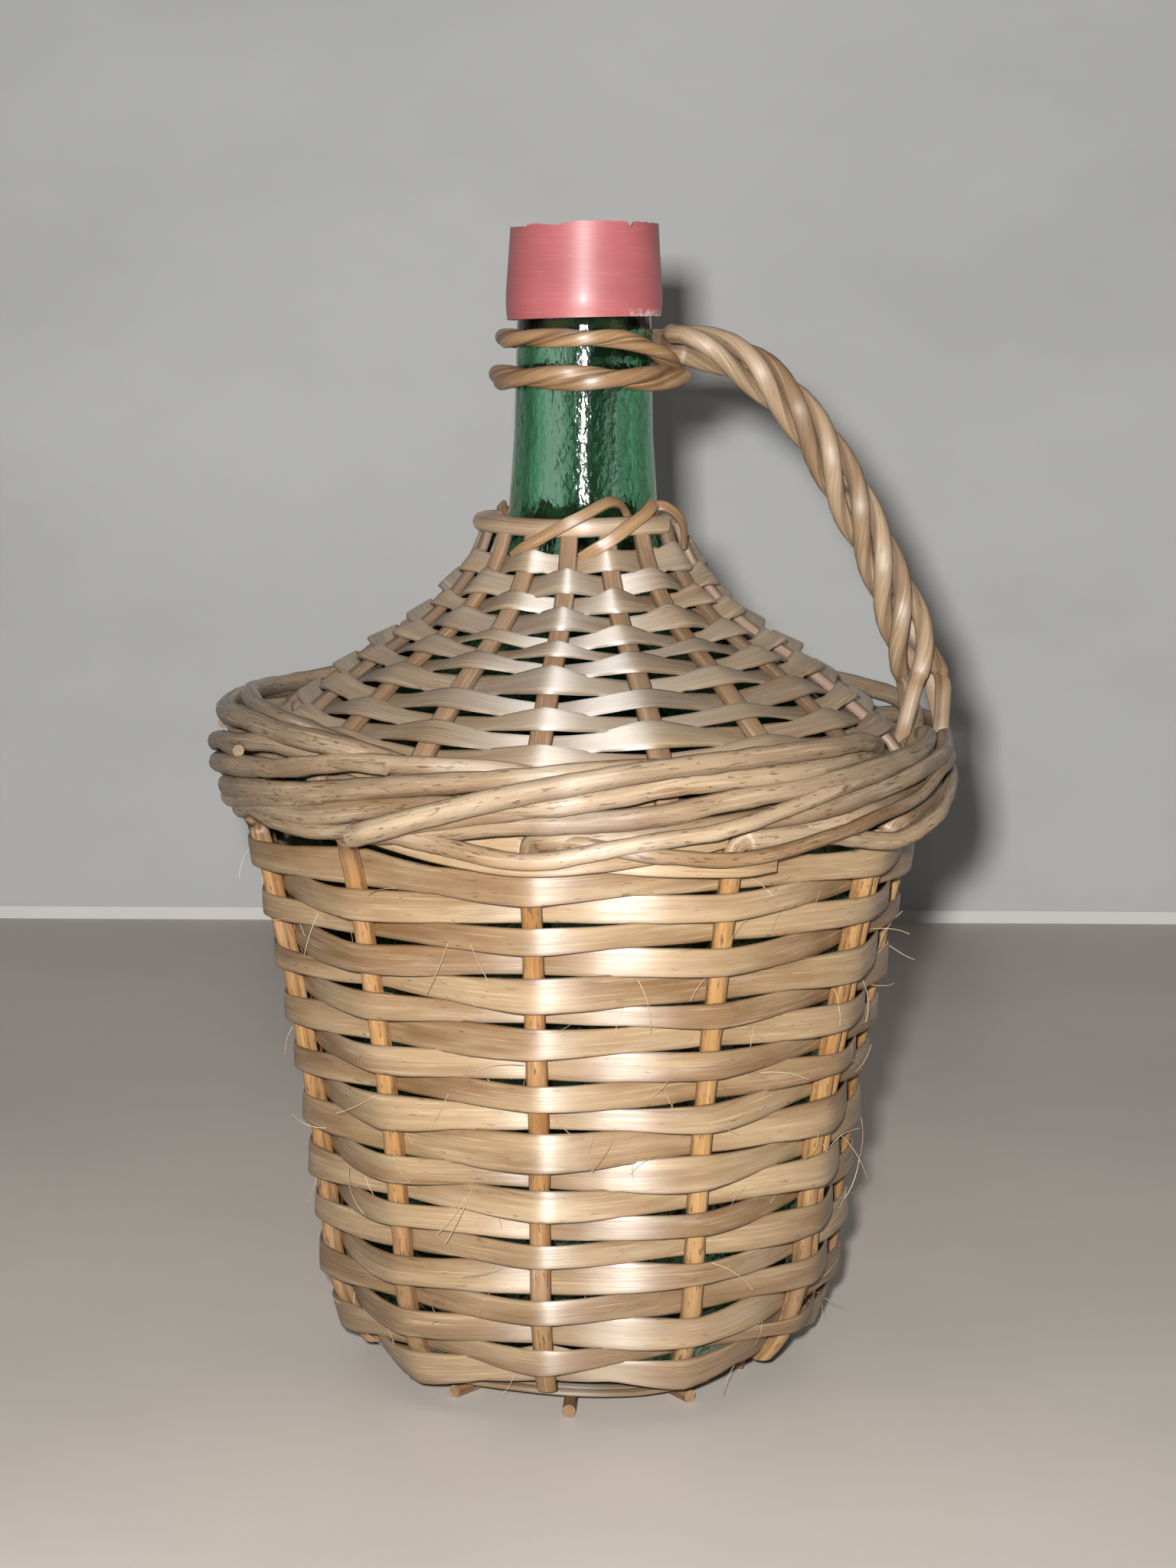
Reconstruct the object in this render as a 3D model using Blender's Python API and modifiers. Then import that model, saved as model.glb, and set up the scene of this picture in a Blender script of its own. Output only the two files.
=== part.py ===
"""Wicker demijohn: a green glass bottle in a willow basket, with a twisted handle, a red cap and a cork.

Metres, +Z up. The origin is the middle of the foot, on the surface that the demijohn stands on.
The handle is towards +X, and the front of the basket towards -Y.
"""

import math

import bmesh
import bpy
from mathutils import Vector

# Clearances
FIT_GAP = 0.0003
WEAVE_GAP = 0.0004
ROW_GAP = 0.0005

# How finely lines are followed
NORMAL_REACH = 0.002
SEARCH_STEP = 0.0005

# Glass bottle
GLASS_WALL = 0.0035
PUNT_HEIGHT = 0.006
FOOT_RADIUS = 0.046
FOOT_RING_WIDTH = 0.008
WAIST_RADIUS = 0.067
WAIST_HEIGHT = 0.046
SHOULDER_RADIUS = 0.087
SHOULDER_HEIGHT = 0.160
FLARE_POWER = 1.35
NECK_FOOT_RADIUS = 0.0204
NECK_FOOT_HEIGHT = 0.238
NECK_RADIUS = 0.0190
NECK_RISE = 0.020
LIP_RADIUS = 0.0190
LIP_HEIGHT = 0.015
LIP_ROUNDING = 0.0012
LIP_UNDERCUT = 0.0008
MOUTH_HEIGHT = 0.3065
MOUTH_RADIUS = 0.0138
# How the glass falls from its shoulder to its neck: share of the way in, share of the way up
SHOULDER_SHAPE = ((0.072, 0.173), (0.386, 0.404), (0.707, 0.596), (0.901, 0.788))

# Red cap, a push-on sleeve whose top was cut open
CAP_WALL = 0.0012
CAP_SKIRT = 0.0165
CAP_RIM = 0.009
CAP_BELLY = 0.0008
CAP_RIM_DRAW = 0.0004
WEB_THICKNESS = 0.0012
WEB_HOLE_GAP = 0.0009

# Cork
CORK_LENGTH = 0.030
CORK_STAND = 0.0075
CORK_CHAMFER = 0.0008

# Base of the basket
SPOKE_COUNT = 10
FIRST_SPOKE_DEG = -92.5
SPOKE_SIZE = 0.0036
SPOKE_REACH = 0.058
HUB_RADIUS = 0.009
MAT_THICKNESS = 0.0024
MAT_OVERLAP = 0.009

# Sides of the basket
STAKE_COUNT = 11
STAKE_RADIUS = 0.0026
FIRST_STAKE_DEG = -98.0
SKEIN_THICKNESS = 0.0011
BODY_ROWS = 21
BODY_START_STAKE = 6
BODY_WEAVE_DROP = 0.0035
BODY_PARITY = 0
BORDER_REACH = 4.2
BORDER_ROD_RADIUS = 0.0029
BORDER_LEAN_DEG = 30.0
BORDER_CURL_DEG = 22.0
BORDER_ROOT_OUT = 0.0035
BORDER_ROOT_RISE = 0.0
BEND_SIZE = 0.0040

# Cone over the shoulder
RIB_COUNT = 17
RIB_RADIUS = 0.0020
RIB_TIP_RADIUS = 0.0012
FIRST_RIB_DEG = -97.5
CONE_START_RIB = 8
CONE_PARITY = 0
CONE_SKEIN_THICKNESS = 0.0009
CONE_ROWS = 14
CONE_FOOT_RISE = 0.010
RIB_TAIL = 0.0035
COLLAR_ROD_RADIUS = 0.0024
COLLAR_DROP = 0.0030

# Neck rings and handle
UPPER_RING_DROP = 0.0220
UPPER_RING_ROD = 0.0024
LOWER_RING_DROP = 0.0105
LOWER_RING_ROD = 0.0016
LOWER_RING_TWISTS = 4
STRAND_COUNT = 4
STRAND_RADIUS = 0.0024
STRAND_TURNS = 2.0
HANDLE_START_DROP = 0.0015
HANDLE_FLAT_RUN = 0.034
HANDLE_FLAT_RISE = 0.0
HANDLE_FOOT_IN = 0.0025
HANDLE_FOOT_LIFT = 0.0015
HANDLE_STEEP_RUN = 0.045
HANDLE_STEEP_LEAN = 0.013
STRAND_SPLAY = 0.0022

BOTTLE_FOOT = SPOKE_SIZE + FIT_GAP + MAT_THICKNESS + FIT_GAP
CORK_RADIUS = MOUTH_RADIUS - FIT_GAP
CAP_INNER_RADIUS = LIP_RADIUS + FIT_GAP
WEB_BOTTOM = MOUTH_HEIGHT + FIT_GAP
BORDER_ROOT_HEIGHT = SHOULDER_HEIGHT + BORDER_ROOT_RISE
BODY_WEAVE_TOP = BORDER_ROOT_HEIGHT - BODY_WEAVE_DROP
CONE_FOOT_HEIGHT = BORDER_ROOT_HEIGHT + CONE_FOOT_RISE
COLLAR_HEIGHT = NECK_FOOT_HEIGHT - COLLAR_DROP
UPPER_RING_HEIGHT = MOUTH_HEIGHT - UPPER_RING_DROP
LOWER_RING_HEIGHT = UPPER_RING_HEIGHT - LOWER_RING_DROP
HANDLE_START_HEIGHT = UPPER_RING_HEIGHT - HANDLE_START_DROP


# Scene and materials


def clear_scene():
    for item in list(bpy.data.objects):
        bpy.data.objects.remove(item, do_unlink=True)


def finish(name, colour, roughness, transmission=0.0):
    material = bpy.data.materials.new(name)
    material.use_nodes = True
    shader = material.node_tree.nodes["Principled BSDF"]
    shader.inputs["Base Color"].default_value = (*colour, 1.0)
    shader.inputs["Roughness"].default_value = roughness
    shader.inputs["Metallic"].default_value = 0.0
    shader.inputs["Transmission Weight"].default_value = transmission
    return material


def add_object(name, data, material, parts):
    piece = bpy.data.objects.new(name, data)
    data.materials.append(material)
    parts.objects.link(piece)
    return piece


# Shapes


def turned(name, profile, steps, material, parts):
    """A turned solid. The profile starts and ends on the axis, or is a closed loop off it."""
    closed = profile[0][0] > 0.0
    mesh = bpy.data.meshes.new(name)
    shape = bmesh.new()
    corners = [shape.verts.new((radius, 0.0, height)) for radius, height in profile]
    for first, second in zip(corners, corners[1:]):
        shape.edges.new((first, second))
    if closed:
        shape.edges.new((corners[-1], corners[0]))
    shape.to_mesh(mesh)
    shape.free()
    piece = add_object(name, mesh, material, parts)
    spin = piece.modifiers.new("Turn", "SCREW")
    spin.steps = steps
    spin.render_steps = steps
    spin.use_merge_vertices = True
    spin.merge_threshold = 0.00002
    spin.use_smooth_shade = True
    return piece


def rod(name, points, radius, material, parts, closed=False, tip=1.0):
    """A round willow rod along the points, with cut ends or joined into a ring. It can taper to its tip."""
    curve = bpy.data.curves.new(name, "CURVE")
    curve.dimensions = "3D"
    curve.twist_mode = "MINIMUM"
    curve.bevel_depth = radius
    curve.bevel_resolution = 1
    curve.use_fill_caps = not closed
    spline = curve.splines.new("POLY")
    spline.points.add(len(points) - 1)
    for index, (knot, point) in enumerate(zip(spline.points, points)):
        knot.co = (*point, 1.0)
        knot.radius = 1.0 + (tip - 1.0) * index / (len(points) - 1)
    spline.use_cyclic_u = closed
    spline.use_smooth = True
    return add_object(name, curve, material, parts)


def skein(name, stations, thickness, material, parts):
    """A flat willow skein. Each station is its lower and its upper edge."""
    mesh = bpy.data.meshes.new(name)
    shape = bmesh.new()
    bmesh.ops.create_grid(shape, x_segments=len(stations) - 1, y_segments=1, size=0.5)
    for corner in shape.verts:
        station = round((corner.co.x + 0.5) * (len(stations) - 1))
        edge = 1 if corner.co.y > 0.0 else 0
        corner.co = stations[station][edge]
    shape.to_mesh(mesh)
    shape.free()
    piece = add_object(name, mesh, material, parts)
    wall = piece.modifiers.new("Thickness", "SOLIDIFY")
    wall.thickness = thickness
    wall.offset = 0.0
    wall.use_even_offset = True
    return piece


# Lines in the plane of radius and height


class Meridian:
    """A line in the plane of radius and height, looked up by the distance along it."""

    def __init__(self, points):
        self.points = [Vector(point) for point in points]
        self.marks = [0.0]
        for first, second in zip(self.points, self.points[1:]):
            self.marks.append(self.marks[-1] + (second - first).length)
        self.length = self.marks[-1]

    def span(self, distance):
        for index in range(1, len(self.marks) - 1):
            if distance < self.marks[index]:
                return index - 1
        return len(self.marks) - 2

    def at(self, distance):
        index = self.span(distance)
        run = self.marks[index + 1] - self.marks[index]
        share = (distance - self.marks[index]) / run
        return self.points[index].lerp(self.points[index + 1], share)

    def normal(self, distance):
        """Out of the bottle, from the run's direction just before and after."""
        low = self.at(max(distance - NORMAL_REACH, 0.0))
        high = self.at(min(distance + NORMAL_REACH, self.length))
        along = (high - low).normalized()
        return Vector((along.y, -along.x))

    def distance_at_height(self, height):
        """How far along the line first reaches a height."""
        for index, (first, second) in enumerate(zip(self.points, self.points[1:])):
            if first.y <= height <= second.y:
                share = (height - first.y) / (second.y - first.y)
                return self.marks[index] + share * (second - first).length
        return self.length


def smooth_line(points, steps):
    """A Catmull-Rom curve through the points, with this many runs for each span."""
    knots = [Vector(point) for point in points]
    padded = [2 * knots[0] - knots[1], *knots, 2 * knots[-1] - knots[-2]]
    line = [knots[0]]
    for before, start, end, after in zip(padded, padded[1:], padded[2:], padded[3:]):
        for step in range(1, steps + 1):
            t = step / steps
            line.append(
                0.5
                * (
                    2 * start
                    + (end - before) * t
                    + (2 * before - 5 * start + 4 * end - after) * t**2
                    + (3 * start - before - 3 * end + after) * t**3
                )
            )
    return line


def around(radius, angle, height):
    return Vector((radius * math.cos(angle), radius * math.sin(angle), height))


# Glass bottle


def heel_line():
    """The round heel, from the foot to the waist."""
    steps = 6
    line = []
    for step in range(steps + 1):
        turn = math.radians(90.0 * step / steps)
        radius = FOOT_RADIUS + (WAIST_RADIUS - FOOT_RADIUS) * math.sin(turn)
        height = BOTTLE_FOOT + (WAIST_HEIGHT - BOTTLE_FOOT) * (1.0 - math.cos(turn))
        line.append((radius, height))
    return line


def flare_line():
    """The side, which flares from the waist towards the shoulder."""
    line = []
    for share in (0.3, 0.6, 0.85):
        radius = WAIST_RADIUS + (SHOULDER_RADIUS - WAIST_RADIUS) * share**FLARE_POWER
        height = WAIST_HEIGHT + (SHOULDER_HEIGHT - WAIST_HEIGHT) * share
        line.append((radius, height))
    return line


def shoulder_line():
    """The cone, from the shoulder to the foot of the neck."""
    line = [(SHOULDER_RADIUS, SHOULDER_HEIGHT)]
    for share_in, share_up in SHOULDER_SHAPE:
        radius = SHOULDER_RADIUS + (NECK_FOOT_RADIUS - SHOULDER_RADIUS) * share_in
        height = SHOULDER_HEIGHT + (NECK_FOOT_HEIGHT - SHOULDER_HEIGHT) * share_up
        line.append((radius, height))
    line.append((NECK_FOOT_RADIUS, NECK_FOOT_HEIGHT))
    return line


def bottle_side():
    """The outside of the glass, from the edge of the foot to the neck under the rings."""
    upper = smooth_line([*flare_line(), *shoulder_line()], 2)
    neck = (NECK_RADIUS, NECK_FOOT_HEIGHT + NECK_RISE)
    return [*heel_line(), *upper, neck]


def build_bottle(glass, parts):
    side = Meridian(bottle_side())
    lip_foot = MOUTH_HEIGHT - LIP_HEIGHT
    outside = [
        *[tuple(point) for point in side.points],
        (NECK_RADIUS - LIP_UNDERCUT, lip_foot - LIP_UNDERCUT),
        (LIP_RADIUS, lip_foot + LIP_ROUNDING),
        (LIP_RADIUS, MOUTH_HEIGHT - LIP_ROUNDING),
        (LIP_RADIUS - LIP_ROUNDING, MOUTH_HEIGHT),
    ]
    inside = []
    for mark in side.marks[2:]:
        wall = side.at(mark) - side.normal(mark) * GLASS_WALL
        inside.append(tuple(wall))
    punt_top = BOTTLE_FOOT + PUNT_HEIGHT
    bore = [
        (inside[-1][0], lip_foot - GLASS_WALL),
        (MOUTH_RADIUS, lip_foot),
        (MOUTH_RADIUS, MOUTH_HEIGHT - LIP_ROUNDING / 2),
        (MOUTH_RADIUS + LIP_ROUNDING / 2, MOUTH_HEIGHT),
    ]
    floor = [(0.0, punt_top + GLASS_WALL), (FOOT_RADIUS - FOOT_RING_WIDTH, BOTTLE_FOOT + GLASS_WALL)]
    underside = [(FOOT_RADIUS - FOOT_RING_WIDTH, BOTTLE_FOOT), (0.0, punt_top)]
    profile = [*floor, *inside, *bore, *reversed(outside), *underside]
    return turned("glass_bottle", profile, 32, glass, parts)


# Cap and cork


def build_cap(plastic, parts):
    """The sleeve and its web, which sits on the lip round the cork."""
    bottom = MOUTH_HEIGHT - CAP_SKIRT
    top = MOUTH_HEIGHT + CAP_RIM
    belly = bottom + CAP_SKIRT / 3
    web_top = WEB_BOTTOM + WEB_THICKNESS
    web_radius = CORK_RADIUS + WEB_HOLE_GAP
    outer = CAP_INNER_RADIUS + CAP_WALL
    profile = [
        (web_radius, WEB_BOTTOM),
        (web_radius, web_top),
        (CAP_INNER_RADIUS, web_top),
        (CAP_INNER_RADIUS - CAP_RIM_DRAW, top),
        (outer - CAP_RIM_DRAW, top),
        (outer, web_top),
        (outer + CAP_BELLY, belly),
        (outer + CAP_BELLY / 2, bottom),
        (CAP_INNER_RADIUS + CAP_BELLY / 2, bottom),
        (CAP_INNER_RADIUS + CAP_BELLY, belly),
        (CAP_INNER_RADIUS, WEB_BOTTOM),
    ]
    return turned("red_cap", profile, 32, plastic, parts)


def build_cork(cork, parts):
    top = MOUTH_HEIGHT + CORK_STAND
    profile = [
        (0.0, top),
        (CORK_RADIUS - CORK_CHAMFER, top),
        (CORK_RADIUS, top - CORK_CHAMFER),
        (CORK_RADIUS, MOUTH_HEIGHT - CORK_LENGTH / 2),
        (CORK_RADIUS - CORK_CHAMFER, top - CORK_LENGTH),
        (0.0, top - CORK_LENGTH),
    ]
    return turned("cork_stopper", profile, 24, cork, parts)


# Base of the basket


def build_base(rod_finish, skein_finish, parts):
    """A bound hub, straight spokes that the basket stands on, and the woven mat over them."""
    mesh = bpy.data.meshes.new("base_hub")
    shape = bmesh.new()
    bmesh.ops.create_cone(
        shape, cap_ends=True, segments=16, radius1=HUB_RADIUS, radius2=HUB_RADIUS, depth=SPOKE_SIZE
    )
    bmesh.ops.translate(shape, verts=shape.verts, vec=(0.0, 0.0, SPOKE_SIZE / 2))
    shape.to_mesh(mesh)
    shape.free()
    add_object("base_hub", mesh, rod_finish, parts)

    sides = 8
    spoke_start = HUB_RADIUS + FIT_GAP
    spoke_length = SPOKE_REACH - spoke_start
    corner_radius = SPOKE_SIZE / 2 / math.cos(math.pi / sides)
    spoke_mesh = bpy.data.meshes.new("base_spoke")
    shape = bmesh.new()
    bmesh.ops.create_cone(
        shape, cap_ends=True, segments=sides, radius1=corner_radius, radius2=corner_radius, depth=spoke_length
    )
    for corner in shape.verts:
        turn = math.atan2(corner.co.y, corner.co.x) + math.pi / sides
        along = corner.co.z + spoke_start + spoke_length / 2
        across = corner_radius * math.cos(turn)
        height = corner_radius * math.sin(turn) + SPOKE_SIZE / 2
        corner.co = (along, across, height)
    shape.to_mesh(spoke_mesh)
    shape.free()
    for index in range(SPOKE_COUNT):
        spoke = add_object(f"base_spoke_{index + 1}", spoke_mesh, rod_finish, parts)
        spoke.rotation_euler.z = math.radians(FIRST_SPOKE_DEG) + 2.0 * math.pi * index / SPOKE_COUNT

    mat_foot = SPOKE_SIZE + FIT_GAP
    mat_radius = FOOT_RADIUS + MAT_OVERLAP
    mat = [
        (0.0, mat_foot + MAT_THICKNESS),
        (mat_radius, mat_foot + MAT_THICKNESS),
        (mat_radius, mat_foot),
        (0.0, mat_foot),
    ]
    turned("base_mat", mat, 32, skein_finish, parts)


# Weave, shared by the sides and the cone


def weave_swing(radius, count, rod_radius, thickness, halves):
    """How far a skein's middle swings from the rods' line, so that its straight runs clear the rods."""
    clear = rod_radius + WEAVE_GAP + thickness / 2
    run = 2.0 * math.pi * radius / count / halves
    swing = clear
    for _ in range(6):
        drop = 2.0 * swing / halves + run**2 / (2.0 * radius)
        swing = clear * math.hypot(run, drop) / run
    return swing


def rod_meridian(glass_line, count, rod_radii, thickness, halves):
    """The line that the rods' centres follow: the glass, plus room for a skein to pass inside them."""
    glass = Meridian(glass_line)
    points = []
    for mark in glass.marks:
        point = glass.at(mark)
        rod_radius = rod_radii[0] + (rod_radii[1] - rod_radii[0]) * mark / glass.length
        swing = weave_swing(point.x, count, rod_radius, thickness, halves)
        points.append(point + glass.normal(mark) * (WEAVE_GAP + thickness / 2 + swing))
    return Meridian(points)


def woven_stations(line, start, end, rows, count, first_angle, rod_radii, thickness, halves, parity):
    """The edges of one skein that winds up the line, in and out of the rods, between two distances."""
    pitch = (end - start) / rows
    half_width = (pitch - ROW_GAP) / 2
    per_turn = count * halves
    stations = []
    for index in range((rows - 1) * per_turn + 1):
        middle = start + pitch * (0.5 + index / per_turn)
        angle = first_angle + 2.0 * math.pi * index / per_turn
        rod_radius = rod_radii[0] + (rod_radii[1] - rod_radii[0]) * middle / line.length
        swing = weave_swing(line.at(middle).x, count, rod_radius, thickness, halves)
        crossing, between = divmod(index, halves)
        side = 0.0 if between else (1.0 if crossing % 2 == parity else -1.0)
        edges = []
        for mark in (middle - half_width, middle + half_width):
            place = line.at(mark) + line.normal(mark) * swing * side
            edges.append(around(place.x, angle, place.y))
        stations.append(edges)
    return stations


# Sides of the basket


def border_place(age):
    """Radius and height of a border rod, age stake spacings after it bends out of the side.

    The rods lie on each other up the outside, and lean out. The oldest curl in over the top.
    """
    rise = 2.0 * BORDER_ROD_RADIUS + WEAVE_GAP
    radius = SHOULDER_RADIUS + weave_room() + BORDER_ROOT_OUT
    height = BORDER_ROOT_HEIGHT
    left = age
    while left > 0.0:
        step = min(left, 0.25)
        past = max(age - left + step / 2 - 1.0, 0.0)
        lean = math.radians(BORDER_LEAN_DEG - BORDER_CURL_DEG * past)
        radius += step * rise * math.sin(lean)
        height += step * rise * math.cos(lean)
        left -= step
    return radius, height


def weave_room():
    """From the glass to the stakes' centres, at the shoulder."""
    swing = weave_swing(SHOULDER_RADIUS, STAKE_COUNT, STAKE_RADIUS, SKEIN_THICKNESS, 2)
    return WEAVE_GAP + SKEIN_THICKNESS / 2 + swing


def side_line():
    glass = [*heel_line(), *smooth_line([*flare_line(), *shoulder_line()], 3)]
    return rod_meridian(glass, STAKE_COUNT, (STAKE_RADIUS, STAKE_RADIUS), SKEIN_THICKNESS, 2)


def side_start(line):
    """The lowest place where a skein outside the stakes still clears the spokes."""
    distance = 0.0
    while distance < line.length:
        swing = 2.0 * STAKE_RADIUS + SKEIN_THICKNESS
        outer = line.at(distance) + line.normal(distance) * swing
        if min(outer.y, line.at(distance).y - STAKE_RADIUS) > SPOKE_SIZE + FIT_GAP:
            return distance
        distance += SEARCH_STEP
    return 0.0


def stake_points(line, start, angle):
    """Up the side, over a tight bend, and along the border with a slow climb."""
    upright_end = line.distance_at_height(BORDER_ROOT_HEIGHT - BEND_SIZE)
    runs = 11
    points = []
    for step in range(runs + 1):
        place = line.at(start + (upright_end - start) * step / runs)
        points.append(around(place.x, angle, place.y))
    spacing = 2.0 * math.pi / STAKE_COUNT
    bend = BEND_SIZE / (SHOULDER_RADIUS * spacing)
    border_steps = 13
    low = line.at(upright_end)
    first_radius, first_height = border_place(bend)
    corner_radius = (low.x + first_radius) / 2
    points.append(around(corner_radius, angle + 0.3 * bend * spacing, first_height - 0.3 * BEND_SIZE))
    for step in range(border_steps + 1):
        age = bend + (BORDER_REACH - bend) * step / border_steps
        radius, height = border_place(age)
        points.append(around(radius, angle + age * spacing, height))
    return points


def build_sides(rod_finish, skein_finish, parts):
    line = side_line()
    start = side_start(line)
    for index in range(STAKE_COUNT):
        angle = math.radians(FIRST_STAKE_DEG) + 2.0 * math.pi * index / STAKE_COUNT
        points = stake_points(line, start, angle)
        name = f"body_stake_{index + 1:02d}"
        rod(name, points, STAKE_RADIUS, rod_finish, parts, tip=BORDER_ROD_RADIUS / STAKE_RADIUS)
    stations = woven_stations(
        line,
        start,
        line.distance_at_height(BODY_WEAVE_TOP),
        BODY_ROWS,
        STAKE_COUNT,
        math.radians(FIRST_STAKE_DEG) + 2.0 * math.pi * BODY_START_STAKE / STAKE_COUNT,
        (STAKE_RADIUS, STAKE_RADIUS),
        SKEIN_THICKNESS,
        2,
        BODY_PARITY,
    )
    skein("body_weave", stations, SKEIN_THICKNESS, skein_finish, parts)


# Cone over the shoulder


def cone_line():
    glass = smooth_line([*flare_line(), *shoulder_line()], 3)
    return rod_meridian(glass, RIB_COUNT, (RIB_RADIUS, RIB_TIP_RADIUS), CONE_SKEIN_THICKNESS, 1)


def build_cone(rod_finish, skein_finish, parts):
    line = cone_line()
    foot = line.distance_at_height(CONE_FOOT_HEIGHT)
    collar_clear = COLLAR_HEIGHT - COLLAR_ROD_RADIUS - WEAVE_GAP
    top = line.distance_at_height(collar_clear - RIB_TIP_RADIUS / 2)
    rib_foot = foot - RIB_TAIL
    foot_radius = RIB_RADIUS + (RIB_TIP_RADIUS - RIB_RADIUS) * rib_foot / line.length
    top_radius = RIB_RADIUS + (RIB_TIP_RADIUS - RIB_RADIUS) * top / line.length
    runs = 9
    for index in range(RIB_COUNT):
        angle = math.radians(FIRST_RIB_DEG) + 2.0 * math.pi * index / RIB_COUNT
        points = []
        for step in range(runs + 1):
            place = line.at(rib_foot + (top - rib_foot) * step / runs)
            points.append(around(place.x, angle, place.y))
        name = f"shoulder_rib_{index + 1:02d}"
        rod(name, points, foot_radius, rod_finish, parts, tip=top_radius / foot_radius)
    stations = woven_stations(
        line,
        foot,
        top - 1.5 * RIB_TIP_RADIUS,
        CONE_ROWS,
        RIB_COUNT,
        math.radians(FIRST_RIB_DEG) + 2.0 * math.pi * CONE_START_RIB / RIB_COUNT,
        (RIB_RADIUS, RIB_TIP_RADIUS),
        CONE_SKEIN_THICKNESS,
        1,
        CONE_PARITY,
    )
    skein("shoulder_weave", stations, CONE_SKEIN_THICKNESS, skein_finish, parts)
    collar_radius = line.at(line.distance_at_height(collar_clear)).x
    ring = ring_points(collar_radius, COLLAR_HEIGHT, 20)
    rod("collar_ring", ring, COLLAR_ROD_RADIUS, rod_finish, parts, closed=True)


# Neck rings and handle


def ring_points(radius, height, count, swing=0.0, twists=0, phase=0.0):
    """Points round the neck. With a swing, the rod also winds round the ring's own middle."""
    points = []
    for index in range(count):
        angle = 2.0 * math.pi * index / count
        turn = phase + twists * angle
        points.append(around(radius + swing * math.cos(turn), angle, height + swing * math.sin(turn)))
    return points


def neck_radius_at(height):
    side = Meridian(bottle_side())
    neck_foot = side.points[-1]
    return neck_foot.x if height > neck_foot.y else side.at(side.distance_at_height(height)).x


def lower_ring_swing():
    return LOWER_RING_ROD + WEAVE_GAP


def build_neck_rings(rod_finish, parts):
    upper = neck_radius_at(UPPER_RING_HEIGHT) + FIT_GAP + UPPER_RING_ROD
    upper_points = ring_points(upper, UPPER_RING_HEIGHT, 20)
    rod("neck_ring_upper", upper_points, UPPER_RING_ROD, rod_finish, parts, closed=True)
    swing = lower_ring_swing()
    lower = neck_radius_at(LOWER_RING_HEIGHT) + FIT_GAP + LOWER_RING_ROD + swing
    for name, phase in (("a", 0.0), ("b", math.pi)):
        points = ring_points(lower, LOWER_RING_HEIGHT, 32, swing, LOWER_RING_TWISTS, phase)
        rod(f"neck_ring_lower_{name}", points, LOWER_RING_ROD, rod_finish, parts, closed=True)
    return lower + swing + LOWER_RING_ROD


def top_rod_age(angle_deg):
    """How many stake spacings ago the rod on top of the border at this angle bent out of the side."""
    age = (angle_deg - FIRST_STAKE_DEG) * STAKE_COUNT / 360.0
    return age + math.floor(BORDER_REACH - age)


def handle_centre(start_radius):
    """The middle of the handle in the plane of the handle: over from the neck, then down to the border."""
    foot_radius, foot_height = border_place(top_rod_age(0.0))
    foot_radius -= HANDLE_FOOT_IN
    foot_height += BORDER_ROD_RADIUS + WEAVE_GAP + HANDLE_FOOT_LIFT
    start = Vector((start_radius, HANDLE_START_HEIGHT))
    end = Vector((foot_radius, foot_height))
    over = start + Vector((HANDLE_FLAT_RUN, HANDLE_FLAT_RISE))
    steep = end + Vector((-HANDLE_STEEP_LEAN, HANDLE_STEEP_RUN))
    runs = 40
    line = []
    for step in range(runs + 1):
        t = step / runs
        line.append(
            start * (1 - t) ** 3 + over * 3 * t * (1 - t) ** 2 + steep * 3 * t**2 * (1 - t) + end * t**3
        )
    return Meridian(line)


def build_handle(rod_finish, parts, start_radius):
    """Four rods laid round each other, spreading a little where they meet the border."""
    line = handle_centre(start_radius)
    lay = STRAND_RADIUS / math.sin(math.pi / STRAND_COUNT)
    stretch = math.hypot(1.0, 2.0 * math.pi * lay * STRAND_TURNS / line.length)
    lay = (STRAND_RADIUS * stretch + WEAVE_GAP / 2) / math.sin(math.pi / STRAND_COUNT)
    runs = 22
    for strand in range(STRAND_COUNT):
        points = []
        for index in range(runs + 1):
            share = index / runs
            place = line.at(line.length * share)
            turn = 2.0 * math.pi * (STRAND_TURNS * share + strand / STRAND_COUNT) + math.pi / 4
            reach = lay + STRAND_SPLAY * share**4
            out = line.normal(line.length * share).lerp(Vector((-1.0, 0.0)), share**4)
            middle = place + out * reach * math.cos(turn)
            points.append(Vector((middle.x, reach * math.sin(turn), middle.y)))
        rod(f"handle_strand_{strand + 1}", points, STRAND_RADIUS, rod_finish, parts)


def main():
    clear_scene()
    parts = bpy.data.collections.new("wicker_demijohn")
    bpy.context.scene.collection.children.link(parts)
    glass = finish("green_glass", (0.05, 0.30, 0.17), 0.05, 1.0)
    plastic = finish("red_plastic", (0.66, 0.12, 0.13), 0.35)
    cork = finish("stained_cork", (0.10, 0.06, 0.05), 0.8)
    round_willow = finish("round_willow", (0.50, 0.27, 0.10), 0.55)
    flat_willow = finish("flat_willow", (0.52, 0.35, 0.19), 0.5)
    handle_willow = finish("handle_willow", (0.47, 0.27, 0.12), 0.45)
    build_bottle(glass, parts)
    build_cap(plastic, parts)
    build_cork(cork, parts)
    build_base(round_willow, flat_willow, parts)
    build_sides(round_willow, flat_willow, parts)
    build_cone(round_willow, flat_willow, parts)
    ring_edge = build_neck_rings(handle_willow, parts)
    build_handle(handle_willow, parts, ring_edge + WEAVE_GAP)
    bpy.context.view_layer.update()


main()
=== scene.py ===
"""Dresses the wicker demijohn: green glass, a woven willow basket, a red cap and a cork, on a plain stage."""

import math
import random

import bmesh
import bpy
import numpy as np
from bpy.props import (
    FloatProperty,
    FloatVectorProperty,
    IntProperty,
    PointerProperty,
)
from bpy.types import Operator, Panel, PropertyGroup
from mathutils import Matrix, Vector, noise


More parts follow.
